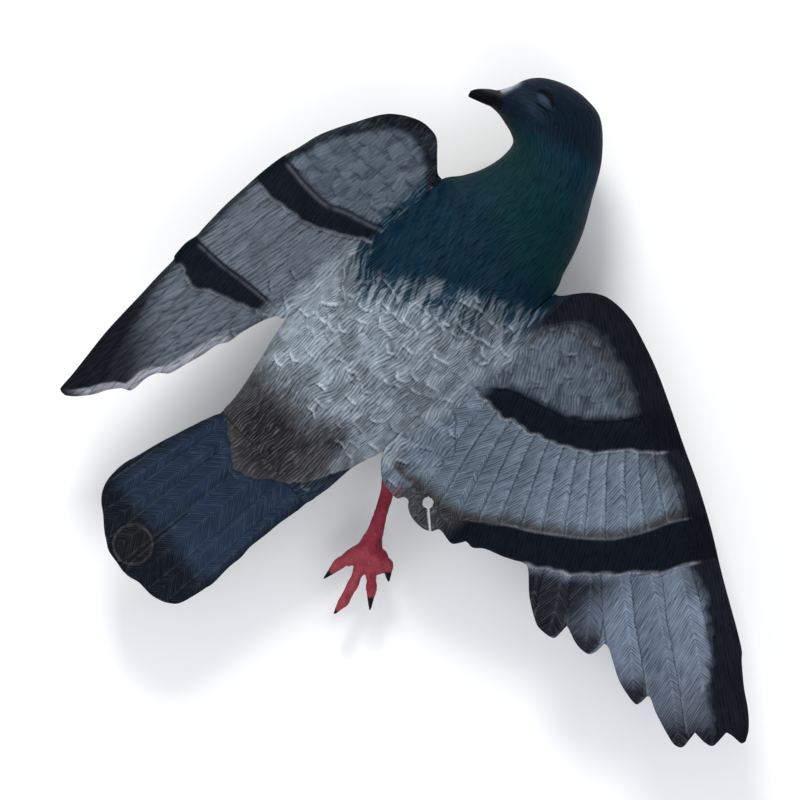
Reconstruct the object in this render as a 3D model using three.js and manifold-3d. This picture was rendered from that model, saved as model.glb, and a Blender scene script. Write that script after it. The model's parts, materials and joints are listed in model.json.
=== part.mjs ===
// Motion wing pigeon decoy: a moulded bird with two flapping wings, a geared rocker drive, a battery pack
// and a stake socket. Millimetres, +Z up (the bird's back), +Y towards the head, +X to the bird's right.
// The origin is on the flat belly pad, on the body's centreline.
import * as THREE from "three";
import { mergeVertices } from "three/addons/utils/BufferGeometryUtils.js";
import Module from "manifold-3d";

// ---------------------------------------------------------------- driving dimensions
const WALL = 2.5; // moulded shell wall
const LIP = 2; // height of the back shell's edge below the rim
const GAP = 0.3; // clearance between fixed pieces
const SKIN = 3; // thickness of the wing and tail sheets
const PAD_Z = 0; // the flat belly pad

const RIM = { hingeX: 30, hingeZ: 46 }; // wing hinge axes, along Y, at x = +hingeX and -hingeX
const GEAR = { module: 1.25, sectorTeeth: 48, pinionTeeth: 12, backlash: 0.16 };
const SECTOR_R = (GEAR.module * GEAR.sectorTeeth) / 2;
const PINION_R = (GEAR.module * GEAR.pinionTeeth) / 2;
const TOOTH_STEP = 360 / GEAR.sectorTeeth;
const PINION_ANGLE = 180 + 6 * TOOTH_STEP; // where the pinion sits round the right sector, in degrees
const GEAR_Y = [27, 32]; // front and back of the gear plane
const HUB_Y = [24.6, 36];
const ARM_Y = [25.5, 35];
const PLATE_Y = [
  [21, 24],
  [36.6, 39.6],
];

const EYELET = { x: 75, y: -58.8, r: 3, slitWidth: 1, slitEnd: [90, -69.5] };
const SOCKET = { y: 12, bore: 6, outer: 8.5, height: 40, flange: 9.4 };
const TRAY = { halfX: 16.7, y0: -57, y1: -1.5, z0: 3.7, z1: 36.5, wall: 1.3 };
const DOOR = { halfX: 15.5, thick: 2.2 };
const CELL = { r: 7.1, length: 50, pitch: 14.8, y0: TRAY.y0 + 2.2, z: 11.4 };
const SWITCH = { x: 19, y: 12, travel: 4 };
const SCREWS = [
  [-22, 62],
  [25, 62],
  [-30, -55],
  [32, -55],
];
const SPAR = { startX: 46, startDepth: 4, endDepth: 2.2, rightTip: 150, leftTip: 88 };
const WING_SCREW = { y: 30.3, r: 1.2, head: 2.4, headGap: 0.7 };
const RIGHT_WING_SCREWS = [66, 128];
const LEFT_WING_SCREWS = [60, 80];

// ---------------------------------------------------------------- small helpers
const wasm = await Module();
wasm.setup();
const rad = (degrees) => (degrees * Math.PI) / 180;
const clamp = (v, low, high) => Math.min(high, Math.max(low, v));
const smooth = (v) => {
  const t = clamp(v, 0, 1);
  return t * t * (3 - 2 * t);
};

function solid(geometry) {
  const bare = geometry.index ? geometry.toNonIndexed() : geometry.clone();
  for (const name of Object.keys(bare.attributes)) if (name !== "position") bare.deleteAttribute(name);
  const merged = mergeVertices(bare, 1e-4);
  const source = merged.index.array;
  const faces = [];
  for (let i = 0; i < source.length; i += 3) {
    const [a, b, c] = [source[i], source[i + 1], source[i + 2]];
    if (a !== b && b !== c && c !== a) faces.push(a, b, c);
  }
  return new wasm.Manifold(
    new wasm.Mesh({
      numProp: 3,
      vertProperties: merged.attributes.position.array,
      triVerts: new Uint32Array(faces),
    }),
  );
}

function geometryOf(made) {
  const mesh = made.getMesh();
  return new THREE.BufferGeometry()
    .setAttribute("position", new THREE.BufferAttribute(new Float32Array(mesh.vertProperties), 3))
    .setIndex(new THREE.BufferAttribute(new Uint32Array(mesh.triVerts), 1));
}

// A box from its lowest and highest corner.
function box(low, high) {
  const size = high.map((v, i) => v - low[i]);
  const g = new THREE.BoxGeometry(...size);
  g.translate(...low.map((v, i) => v + size[i] / 2));
  return solid(g);
}

// A cylinder standing on z0, or lying along Y from y0.
function uprightCylinder(x, y, z0, z1, r, sides = 28) {
  const g = new THREE.CylinderGeometry(r, r, z1 - z0, sides);
  g.rotateX(Math.PI / 2);
  g.translate(x, y, (z0 + z1) / 2);
  return solid(g);
}

function cylinderAlongY(x, z, y0, y1, r, sides = 24) {
  const g = new THREE.CylinderGeometry(r, r, y1 - y0, sides);
  g.translate(x, (y0 + y1) / 2, z);
  return solid(g);
}

// A prism whose outline is drawn in X and Z and which runs along Y.
function prismXZ(outline, y0, y1) {
  const shape = new THREE.Shape(outline.map(([x, z]) => new THREE.Vector2(x, z)));
  const g = new THREE.ExtrudeGeometry(shape, { depth: y1 - y0, bevelEnabled: false });
  g.rotateX(Math.PI / 2);
  g.translate(0, y1, 0);
  return solid(g);
}

// A prism whose outline is drawn in X and Y and which stands along Z.
function prismXY(outline, z0, z1) {
  const shape = new THREE.Shape(outline.map(([x, y]) => new THREE.Vector2(x, y)));
  const g = new THREE.ExtrudeGeometry(shape, { depth: z1 - z0, bevelEnabled: false });
  g.translate(0, 0, z0);
  return solid(g);
}

// A closed slab between two height surfaces over a grid: at(i, j, side) gives a point, side 1 on top.
function gridSolid(rows, columns, at) {
  const points = [];
  const grid = (side) =>
    Array.from({ length: rows + 1 }, (_, i) => Array.from({ length: columns + 1 }, (_, j) => at(i, j, side)));
  const [bottom, top] = [grid(0), grid(1)];
  const quad = (a, b, c, d) => points.push(...a, ...b, ...c, ...a, ...c, ...d);
  for (let i = 0; i < rows; i++)
    for (let j = 0; j < columns; j++) {
      quad(top[i][j], top[i][j + 1], top[i + 1][j + 1], top[i + 1][j]);
      quad(bottom[i][j], bottom[i + 1][j], bottom[i + 1][j + 1], bottom[i][j + 1]);
    }
  for (let j = 0; j < columns; j++) {
    quad(bottom[0][j], bottom[0][j + 1], top[0][j + 1], top[0][j]);
    quad(bottom[rows][j + 1], bottom[rows][j], top[rows][j], top[rows][j + 1]);
  }
  for (let i = 0; i < rows; i++) {
    quad(bottom[i + 1][0], bottom[i][0], top[i][0], top[i + 1][0]);
    quad(bottom[i][columns], bottom[i + 1][columns], top[i + 1][columns], top[i][columns]);
  }
  return solid(
    new THREE.BufferGeometry().setAttribute("position", new THREE.Float32BufferAttribute(points, 3)),
  );
}

// Catmull-Rom value along a list of equal-length arrays; s runs from 0 to length - 1.
function along(list, s) {
  const i = clamp(Math.floor(s), 0, list.length - 2);
  const f = s - i;
  const p = (k) => list[clamp(k, 0, list.length - 1)];
  return list[0].map((_, c) => {
    const [a, b, d, e] = [p(i - 1)[c], p(i)[c], p(i + 1)[c], p(i + 2)[c]];
    const [square, cube] = [2 * a - 5 * b + 4 * d - e, 3 * b - a - 3 * d + e];
    return 0.5 * (2 * b + (d - a) * f + square * f * f + cube * f ** 3);
  });
}

// ---------------------------------------------------------------- body, neck and head
// Sections from the rump to the bill: left x, y, right x, y, rim, top and bottom heights, and how the back
// falls to its sides (0.5 is round, over 1 runs out flat into a wing root).
const SECTIONS = [
  [-28, -106, 35, -106, 45, 51, 35, 0.6],
  [-29.5, -92, 36.5, -92, 45.5, 57, 29, 0.6],
  [-34, -75, 37.5, -75, 47, 64, 14, 0.7],
  [-40, -56, 42, -60, 49, 69, -4, 0.9],
  [-44, -38, 48, -40, 50, 72.5, -5, 1.25],
  [-44, -5, 50, -5, 50, 75, -5, 1.4],
  [-43, 30, 49, 30, 50, 74.5, -5, 1.3],
  [-41, 53, 40.5, 58, 49, 71, 5, 0.9],
  [-35, 63, 35.5, 69, 46, 69, 13, 0.55],
  [-30, 74, 31.5, 80.5, 44, 68, 17, 0.5],
  [-28.4, 85, 25.5, 92, 43, 66, 19, 0.5],
  [-30.5, 93, 17, 106, 42, 63.5, 20.5, 0.5],
  [-36, 96, 5, 122.5, 42, 61.5, 22.5, 0.5],
  [-42, 97.4, -12, 134.3, 42, 60, 24, 0.5],
  [-47, 97.8, -29, 134.3, 42, 59, 25, 0.5],
  [-50.3, 97.6, -42.5, 128.6, 42, 56.5, 27.5, 0.5],
  [-51.8, 97.3, -50, 118, 42, 52.5, 31.5, 0.5],
  [-53, 97, -53.5, 107.3, 42, 46.8, 37.2, 0.5],
  [-57.5, 95.2, -59, 101.7, 42, 45, 39, 0.5],
  [-61.5, 93.1, -63, 96.2, 42, 43.4, 40.6, 0.5],
];
const BELLY_POWER = 2.6; // how square the belly's section is
const HOLLOW = [0, 13.2]; // the sections between which the shells are hollow

function section(s) {
  const [lx, ly, rx, ry, rim, top, bottom, fall] = along(SECTIONS, s);
  return { left: [lx, ly], right: [rx, ry], rim, top, bottom, fall };
}

// A point across a section: u is -1 on the left edge and 1 on the right edge, inset moves both edges in.
function across(sec, u, inset) {
  const [dx, dy] = [sec.right[0] - sec.left[0], sec.right[1] - sec.left[1]];
  const half = Math.hypot(dx, dy) / 2;
  const v = (u * (half - inset)) / half;
  return [
    (sec.left[0] + sec.right[0]) / 2 + (v * dx) / 2,
    (sec.left[1] + sec.right[1]) / 2 + (v * dy) / 2,
  ];
}

const backZ = (sec, u, inset) => sec.rim - inset + (sec.top - sec.rim) * Math.max(0, 1 - u * u) ** sec.fall;

function bellyZ(sec, u, inset) {
  const rim = sec.rim - LIP - GAP;
  const depth = rim - sec.bottom - inset;
  const drop = Math.max(0, 1 - Math.abs(u) ** BELLY_POWER) ** (1 / BELLY_POWER);
  return Math.max(PAD_Z + inset, rim - depth * drop);
}

// One half of the body as a solid block. Spreading the columns by a sine keeps the round edges round.
function half(isBack, inset, from, to, rows, columns) {
  return gridSolid(rows, columns, (i, j, side) => {
    const sec = section(from + ((to - from) * i) / rows);
    const u = Math.sin(((j / columns) * 2 - 1) * (Math.PI / 2));
    const [x, y] = across(sec, u, inset);
    const over = inset > 0 ? 1 : 0;
    const low = sec.rim - LIP - over;
    const high = sec.rim - LIP - GAP + over;
    if (isBack) return [x, y, side ? Math.max(low + 0.2, backZ(sec, u, inset)) : low];
    return [x, y, side ? high : Math.min(high - 0.2, bellyZ(sec, u, inset))];
  });
}

const LAST = SECTIONS.length - 1;
const backBlock = half(true, 0, 0, LAST, 30, 12);
const bellyBlock = half(false, 0, 0, LAST, 30, 12);
// the hollow starts outside the rear end, so the rump is open to take the tail
const backHollow = half(true, WALL, HOLLOW[0], HOLLOW[1], 18, 10);
const bellyHollow = half(false, WALL, HOLLOW[0], HOLLOW[1], 18, 10);
const rearMouth = box([-23, -110, 39], [30, -100, 47.5]);

// ---------------------------------------------------------------- wings and tail
const RIGHT_ROOT_X = 48;
const RIGHT_SPAN = 222;
function rightWingTop(x, y) {
  const s = (x - RIGHT_ROOT_X) / RIGHT_SPAN;
  const middle = 8 - 40 * s;
  return 50 + 14 * s - 24 * s * s - 4 * smooth(s / 0.25) * ((y - middle) / 50) ** 2;
}

const LEFT_ROOT_X = -44;
const LEFT_REACH = 59;
function leftWingTop(x, y) {
  const e = (LEFT_ROOT_X - x) / LEFT_REACH;
  const back = smooth((-40 - y) / 118);
  return 50 + 10 * e * (1 - 0.35 * back) - 5 * Math.max(0, e - 0.55) ** 2 * 4;
}

function tailTop(x, y) {
  const middle = 3.5 - 8 * smooth((-110 - y) / 80);
  return 46 - 4 * smooth((-100 - y) / 95) - 3 * ((x - middle) / 36) ** 2;
}

const RIGHT_WING = [
  [46.5, 58.5], [49, 67], [55, 74], [62, 77.3], [70, 78.3], [80, 77.3], [100, 71.5], [120, 64], [140, 55.5],
  [160, 47.5], [180, 37.5], [200, 27], [219, 18], [234, 10.5], [250, -3], [265, -14], [271, -21],
  [268, -23.8], [260, -25.5], [262, -31.5], [259, -36.3], [249.5, -37], [252, -45], [247, -48.5], [234, -46], [221, -42],
  [220, -49], [206, -48], [186.7, -40.5], [186, -50], [176, -51], [166.8, -49], [167.5, -57], [160, -59.5],
  [148, -55.5], [131.5, -43.8], [120, -49], [111, -52.5], [107, -57], [101.3, -57.5], [97.5, -64.2],
  [90, -63.3], [86, -68.6], [76, -69.8], [66.5, -66.6], [60, -68.5], [53, -67], [50, -64], [52, -42],
  [54, -20], [54.2, 0], [53.6, 25], [50.5, 45],
];
const LEFT_WING = [
  [-47, 57], [-51, 61], [-56, 65], [-62, 67], [-70, 65.3], [-80, 58.5], [-88, 48.5], [-94, 36.5], [-99, 17],
  [-102, 0], [-103.2, -14], [-102.6, -40], [-101.8, -68], [-99.8, -80], [-97, -105], [-94.5, -130],
  [-91, -151],
  [-89.5, -158], [-85, -156.5], [-78, -150], [-73, -138], [-66, -131.5], [-65.7, -119], [-59, -111],
  [-56, -97], [-51.5, -80], [-49.5, -70], [-47.5, -60], [-46.5, -48], [-48, -30], [-48, 0],
  [-47.3, 30], [-46, 50],
];
const TAIL = [
  [-20, -88], [27, -88], [27, -108], [34.5, -108], [33, -125], [32.7, -150], [33, -165], [31.5, -177],
  [29, -186], [20, -192.6], [8, -193.8], [-1, -195.7], [-14, -194], [-28, -185], [-39, -175], [-42, -162],
  [-38.5, -142], [-34, -125], [-28.5, -108], [-20, -108],
];

// A sheet of even thickness that follows a height function inside an outline.
function sheet(outline, top, thickness, cell) {
  const xs = outline.map((p) => p[0]);
  const ys = outline.map((p) => p[1]);
  const [x0, x1] = [Math.min(...xs) - 1, Math.max(...xs) + 1];
  const [y0, y1] = [Math.min(...ys) - 1, Math.max(...ys) + 1];
  const [nx, ny] = [Math.ceil((x1 - x0) / cell), Math.ceil((y1 - y0) / cell)];
  const block = gridSolid(ny, nx, (i, j, side) => {
    const x = x0 + ((x1 - x0) * j) / nx;
    const y = y0 + ((y1 - y0) * i) / ny;
    return [x, y, top(x, y) - (side ? 0 : thickness)];
  });
  return block.intersect(prismXY(outline, -60, 140));
}

function eyeletCut() {
  const hole = uprightCylinder(EYELET.x, EYELET.y, 0, 90, EYELET.r, 24);
  const [ex, ey] = EYELET.slitEnd;
  const length = Math.hypot(ex - EYELET.x, ey - EYELET.y);
  const g = new THREE.BoxGeometry(length, EYELET.slitWidth, 90);
  g.translate(length / 2, 0, 45);
  g.rotateZ(Math.atan2(ey - EYELET.y, ex - EYELET.x));
  g.translate(EYELET.x, EYELET.y, 0);
  return hole.add(solid(g));
}

let rightWing = sheet(RIGHT_WING, rightWingTop, SKIN, 20).subtract(eyeletCut());
let leftWing = sheet(LEFT_WING, leftWingTop, SKIN, 18);
const tailFan = sheet(TAIL, tailTop, SKIN, 16);

// ---------------------------------------------------------------- gear teeth and rockers
// The outline of one tooth after another, as [radius, angle] pairs turned into points.
function toothPoints(teeth, centreAngle) {
  const pitch = (GEAR.module * teeth) / 2;
  const base = pitch * Math.cos(rad(20));
  const tip = pitch + 0.8 * GEAR.module;
  const root = pitch - 1.15 * GEAR.module;
  const involute = (r) => {
    const a = Math.acos(Math.min(1, base / r));
    return Math.tan(a) - a;
  };
  const halfAt = (r) =>
    Math.PI / (2 * teeth) - GEAR.backlash / pitch + involute(pitch) - involute(Math.max(r, base));
  const radii = [root, Math.max(root + 0.1, base), pitch, tip];
  const flank = radii.map((r) => [r, halfAt(r)]);
  return [
    ...flank.map(([r, h]) => [r, rad(centreAngle) - h]),
    ...flank.reverse().map(([r, h]) => [r, rad(centreAngle) + h]),
  ];
}

function polarOutline(cx, cz, pairs) {
  return pairs.map(([r, a]) => [cx + r * Math.cos(a), cz + r * Math.sin(a)]);
}

// A toothed sector from one tooth number to another, with its point at the hub.
function sectorOutline(cx, firstAngle, count) {
  const pairs = [];
  for (let k = 0; k < count; k++) pairs.push(...toothPoints(GEAR.sectorTeeth, firstAngle + k * TOOTH_STEP));
  return [[cx, RIM.hingeZ], ...polarOutline(cx, RIM.hingeZ, pairs)];
}

// The spar's upper edge runs just under the wing sheet, and its depth tapers to the tip.
const sparTop = (side, top, x) => Math.min(...ARM_Y.map((y) => top(side * x, y))) - SKIN - 0.5;
const sparDepth = (x, tipX) =>
  SPAR.startDepth + ((SPAR.endDepth - SPAR.startDepth) * (x - SPAR.startX)) / (tipX - SPAR.startX);

function sparOutline(side, top, tipX) {
  const steps = 5;
  const upper = [];
  const lower = [];
  for (let i = 0; i <= steps; i++) {
    const x = SPAR.startX + ((tipX - SPAR.startX) * i) / steps;
    upper.push([side * x, sparTop(side, top, x)]);
    lower.push([side * x, sparTop(side, top, x) - sparDepth(x, tipX)]);
  }
  const hub = [side * RIM.hingeX, RIM.hingeZ + 3];
  const neck = [side * (RIM.hingeX + 8), RIM.hingeZ + 0.4];
  const neckLow = [side * (RIM.hingeX + 8), RIM.hingeZ - 3.4];
  const hubLow = [side * RIM.hingeX, RIM.hingeZ - 3.4];
  const loop = [hub, neck, ...upper, ...lower.reverse(), neckLow, hubLow];
  return side > 0 ? loop.reverse() : loop;
}

function rocker(side, top, tipX, firstAngle, count) {
  const cx = side * RIM.hingeX;
  const hub = cylinderAlongY(cx, RIM.hingeZ, ...HUB_Y, 5);
  const teeth = prismXZ(sectorOutline(cx, firstAngle, count), ...GEAR_Y);
  const arm = prismXZ(sparOutline(side, top, tipX), ...ARM_Y);
  const bore = cylinderAlongY(cx, RIM.hingeZ, HUB_Y[0] - 1, HUB_Y[1] + 1, 2.1);
  return hub.add(teeth).add(arm).subtract(bore);
}

let rightRocker = rocker(1, rightWingTop, SPAR.rightTip, 180 - 4 * TOOTH_STEP, 14);
let leftRocker = rocker(-1, leftWingTop, SPAR.leftTip, -3.5 * TOOTH_STEP, 8);

// Each wing sheet is screwed to its spar from below.
function wingScrew(side, top, tipX, x, grow) {
  const headTop = sparTop(side, top, x) - sparDepth(x, tipX) - WING_SCREW.headGap;
  const end = top(side * x, WING_SCREW.y) - 1 + grow;
  const shank = uprightCylinder(side * x, WING_SCREW.y, headTop - 0.5, end, WING_SCREW.r + grow, 12);
  if (grow > 0) return shank;
  return shank.add(uprightCylinder(side * x, WING_SCREW.y, headTop - 1.6, headTop, WING_SCREW.head, 12));
}
const wingScrews = [
  ...RIGHT_WING_SCREWS.map((x) => [1, rightWingTop, SPAR.rightTip, x]),
  ...LEFT_WING_SCREWS.map((x) => [-1, leftWingTop, SPAR.leftTip, x]),
];
for (const place of wingScrews) {
  const hole = wingScrew(...place, GAP);
  if (place[0] > 0) {
    rightRocker = rightRocker.subtract(hole);
    rightWing = rightWing.subtract(hole);
  } else {
    leftRocker = leftRocker.subtract(hole);
    leftWing = leftWing.subtract(hole);
  }
}

const PINION = {
  x: RIM.hingeX + (SECTOR_R + PINION_R) * Math.cos(rad(PINION_ANGLE)),
  z: RIM.hingeZ + (SECTOR_R + PINION_R) * Math.sin(rad(PINION_ANGLE)),
};
function pinion() {
  const pairs = [];
  const step = 360 / GEAR.pinionTeeth;
  for (let k = 0; k < GEAR.pinionTeeth; k++)
    pairs.push(...toothPoints(GEAR.pinionTeeth, PINION_ANGLE - 180 + (k + 0.5) * step));
  const wheel = prismXZ(polarOutline(PINION.x, PINION.z, pairs), GEAR_Y[0] - 0.5, GEAR_Y[1] + 0.5);
  return wheel.add(cylinderAlongY(PINION.x, PINION.z, 20.8, 39.9, 1.9, 12));
}

// ---------------------------------------------------------------- drive frame and drive unit
function chassis() {
  const outline = [
    [-20, 5.6], [20, 5.6], [20, 10], [12, 14], [15, 26], [22, 37], [34.5, 40], [34.5, 50.5], [25, 50.5],
    [20, 46],
    [0, 30], [-20, 46], [-25, 50.5], [-34.5, 50.5], [-34.5, 40], [-22, 37], [-12, 26], [-10, 14], [-20, 10],
  ];
  const plates = PLATE_Y.map(([y0, y1]) => prismXZ(outline, y0, y1));
  let made = plates[0].add(plates[1]).add(box([-20, 21, 5.6], [20, 39.6, 8]));
  for (const side of [-1, 1]) {
    made = made.subtract(cylinderAlongY(side * RIM.hingeX, RIM.hingeZ, 15, 45, 1.8));
    made = made.subtract(uprightCylinder(side * 15, 30.3, 4, 9, 1.7, 16));
  }
  return made.subtract(cylinderAlongY(PINION.x, PINION.z, 15, 45, 2.2));
}

const hingePin = (side) =>
  cylinderAlongY(side * RIM.hingeX, RIM.hingeZ, 19.4, 41.2, 1.5).add(
    cylinderAlongY(side * RIM.hingeX, RIM.hingeZ, 18, 19.5, 3, 20),
  );
const gearbox = box([PINION.x - 12, 41.5, 9], [PINION.x + 12, 52, 44]).subtract(
  cylinderAlongY(PINION.x, PINION.z, 40, 46, 3, 16),
);
const MOTOR_Z = 33;
const motor = cylinderAlongY(PINION.x, MOTOR_Z, 52.3, 75, 10, 28).intersect(
  box([PINION.x - 11, 50, MOTOR_Z - 7.6], [PINION.x + 11, 80, MOTOR_Z + 7.6]),
);

// ---------------------------------------------------------------- battery, switch, socket, screws
const batteryTray = box([-TRAY.halfX, TRAY.y0, TRAY.z0], [TRAY.halfX, TRAY.y1, TRAY.z1]).subtract(
  box(
    [-TRAY.halfX + TRAY.wall, TRAY.y0 + TRAY.wall, TRAY.z0 - 1],
    [TRAY.halfX - TRAY.wall, TRAY.y1 - TRAY.wall, TRAY.z1 - TRAY.wall],
  ),
);
const cells = [0, 1, 2, 3].map((k) => {
  const x = (k % 2 ? 0.5 : -0.5) * CELL.pitch;
  const z = CELL.z + (k < 2 ? 0 : CELL.pitch - 0.3);
  const end = CELL.y0 + CELL.length;
  return cylinderAlongY(x, z, CELL.y0, end, CELL.r, 16).add(cylinderAlongY(x, z, end, end + 1, 2.7, 12));
});
const contact = (y) => box([-14.5, y, 4.5], [14.5, y + 0.4, 34]);
const batteryDoor = box(
  [-DOOR.halfX, TRAY.y0, PAD_Z],
  [DOOR.halfX, TRAY.y1, DOOR.thick],
).subtract(box([-6, TRAY.y1 - 6, -1], [6, TRAY.y1 - 3.5, 0.8]));

const socketOutside = uprightCylinder(0, SOCKET.y, PAD_Z, SOCKET.height, SOCKET.outer);
const stakeSocket = socketOutside
  .add(uprightCylinder(0, SOCKET.y, WALL + GAP, 5, SOCKET.flange))
  .subtract(uprightCylinder(0, SOCKET.y, -1, SOCKET.height - 2, SOCKET.bore));

const switchBody = box([SWITCH.x - 4, SWITCH.y - 8, 3.6], [SWITCH.x + 4, SWITCH.y + 8, 9]).subtract(
  box([SWITCH.x - 2.3, SWITCH.y - 5.3, 3], [SWITCH.x + 2.3, SWITCH.y + 5.3, 5.6]),
);
const switchKnob = box(
  [SWITCH.x - 1.8, SWITCH.y - 4.6, 0.4],
  [SWITCH.x + 1.8, SWITCH.y - 4.6 + 5, 5],
);

// Where a section line through (x, y) meets the belly's outside.
function bellyHeight(x, y) {
  let best = [1e9, 0, 0];
  for (let s = 0; s <= 12; s += 0.02) {
    const sec = section(s);
    const middleY = (sec.left[1] + sec.right[1]) / 2;
    if (Math.abs(middleY - y) < best[0]) best = [Math.abs(middleY - y), s];
  }
  const sec = section(best[1]);
  const halfWidth = (sec.right[0] - sec.left[0]) / 2;
  return bellyZ(sec, (x - (sec.left[0] + sec.right[0]) / 2) / halfWidth, 0);
}

const HEAD_SINK = 1.2; // how far a shell screw's head sits inside the belly's surface
const screwSeats = SCREWS.map(([x, y]) => ({ x, y, z: bellyHeight(x, y) + HEAD_SINK + 3 }));
function shellScrew({ x, y, z }) {
  const head = uprightCylinder(x, y, z - 2.2, z, 3, 14);
  const recess = box([x - 2, y - 0.45, z - 3], [x + 2, y + 0.45, z - 1.3]);
  const cross = box([x - 0.45, y - 2, z - 3], [x + 0.45, y + 2, z - 1.3]);
  return head.add(uprightCylinder(x, y, z - 0.5, z + 14, 1.4, 10)).subtract(recess).subtract(cross);
}
const chassisScrew = (side) =>
  uprightCylinder(side * 15, 30.3, 8.3, 10.2, 2.8, 14).add(
    uprightCylinder(side * 15, 30.3, 1.6, 8.4, 1.4, 12),
  );

// ---------------------------------------------------------------- shells
let backShell = backBlock.subtract(backHollow).subtract(rearMouth);
let bellyShell = bellyBlock.subtract(bellyHollow).subtract(rearMouth);
const posts = [];
for (const seat of screwSeats) {
  const column = uprightCylinder(seat.x, seat.y, seat.z + 2.4, 90, 4, 16).intersect(backBlock);
  const lower = uprightCylinder(seat.x, seat.y, seat.z + 2.4, 50, 4, 16);
  posts.push(column.add(lower).intersect(backBlock.add(lower)));
}
for (const post of posts) backShell = backShell.add(post);
for (const { x, y, z } of screwSeats) {
  const boss = uprightCylinder(x, y, -2, z + 2, 5.2, 18).intersect(bellyBlock);
  bellyShell = bellyShell
    .add(boss)
    .subtract(uprightCylinder(x, y, -5, z + 0.1, 3.5, 20))
    .subtract(uprightCylinder(x, y, z - 1, z + 9, 1.8, 14))
    .subtract(uprightCylinder(x, y, z + 2.05, z + 16, 4.4, 16));
  backShell = backShell.subtract(uprightCylinder(x, y, z, z + 15, 1.7, 14));
}
for (const side of [-1, 1]) {
  const slotX = [side * 33, side * 58].sort((a, b) => a - b);
  const slot = box([slotX[0], 22, 33], [slotX[1], 38, 61]);
  backShell = backShell.subtract(slot);
  bellyShell = bellyShell.subtract(slot);
  bellyShell = bellyShell
    .add(uprightCylinder(side * 15, 30.3, 1, 4.7, 4, 16))
    .subtract(uprightCylinder(side * 15, 30.3, 1.2, 6, 1.7, 14));
}
bellyShell = bellyShell
  .subtract(box([-DOOR.halfX - 0.5, TRAY.y0 - 0.5, -1], [DOOR.halfX + 0.5, TRAY.y1 + 0.5, WALL + 1]))
  .subtract(uprightCylinder(0, SOCKET.y, -1, WALL + 1, SOCKET.outer + GAP))
  .subtract(box([SWITCH.x - 2.4, SWITCH.y - 5.5, -1], [SWITCH.x + 2.4, SWITCH.y + 5.5, 4]));

// ---------------------------------------------------------------- legs
const RIGHT_LEG = [
  [44.5, -46], [50, -55], [57, -69], [61.5, -78], [65, -92], [66.2, -110], [67.5, -121], [69, -124.5],
  [71, -120], [72, -112], [74, -107.3], [79, -116], [81.5, -126], [85.5, -132.5], [87, -128], [86.8, -121],
  [83, -115], [81.7, -107.5], [83.5, -107], [92, -114.5], [97, -118], [96, -115], [90, -106.5], [83.6, -100],
  [88, -99.6], [92, -101.5], [90.5, -96], [87, -93], [80, -90.5], [75, -88.5], [69, -81], [66, -72],
  [58, -56], [52, -46.5],
];
const LEFT_LEG = [
  [-26, -66], [-21, -78], [-19, -92], [-22, -106], [-28, -116], [-24.5, -119], [-17.5, -108], [-16.5, -124],
  [-12.5, -124], [-12, -108.5], [-6, -117], [-3, -114.5], [-8.5, -101], [-12.5, -92], [-13, -78], [-17, -66],
];
// Both legs hang clear of the belly: the shank falls from the hip to the toes.
const rightLegTop = (x, y) => 33 - 9 * smooth((-46 - y) / 50) - 4 * smooth((-95 - y) / 35);
const leftLegTop = (x, y) => 14 + 9 * smooth((-66 - y) / 45);
const legPeg = (points, radius) => {
  const [a, b] = points.map((p) => new THREE.Vector3(...p));
  const g = new THREE.CylinderGeometry(radius, radius, a.distanceTo(b), 14);
  const turn = new THREE.Quaternion().setFromUnitVectors(
    new THREE.Vector3(0, 1, 0),
    b.clone().sub(a).normalize(),
  );
  g.applyQuaternion(turn);
  g.translate(...a.add(b).multiplyScalar(0.5).toArray());
  return solid(g);
};
const RIGHT_PEG = [[51, -49, 29.6], [38, -40, 29.6]];
const LEFT_PEG = [[-21.5, -68, 11], [-21.5, -60, 18]];
// The belly grown a little, to trim each leg clear of it.
const bellyTrim = bellyBlock
  .add(bellyBlock.translate([0.5, -0.4, 0]))
  .add(bellyBlock.translate([0, -0.5, -0.5]));
const rightLeg = sheet(RIGHT_LEG, rightLegTop, 6.5, 16)
  .subtract(bellyTrim)
  .add(legPeg(RIGHT_PEG, 2.4));
const leftLeg = sheet(LEFT_LEG, leftLegTop, 6, 12)
  .subtract(bellyTrim)
  .add(legPeg(LEFT_PEG, 2.2));
bellyShell = bellyShell.subtract(legPeg(RIGHT_PEG, 2.8)).subtract(legPeg(LEFT_PEG, 2.6));

// ---------------------------------------------------------------- leads
function lead(points, steps) {
  const shape = new THREE.Shape();
  shape.absarc(0, 0, 0.9, 0, Math.PI * 2);
  const path = new THREE.CatmullRomCurve3(points.map((p) => new THREE.Vector3(...p)));
  const options = { steps, extrudePath: path, curveSegments: 4, bevelEnabled: false };
  return new THREE.ExtrudeGeometry(shape, options);
}
const batteryLead = lead(
  [[17.1, -12, 20], [18.8, -12, 20], [20.8, -4, 17], [20.5, 5, 13.5], [19.5, 7.5, 9.9]],
  10,
);
const motorLead = lead(
  [[20.5, 15, 9.9], [21, 16, 11.4], [24.5, 23, 11], [25, 38, 11], [22.5, 48, 20], [18, 54, 29],
   [14.7, 57, 33]],
  16,
);

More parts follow.
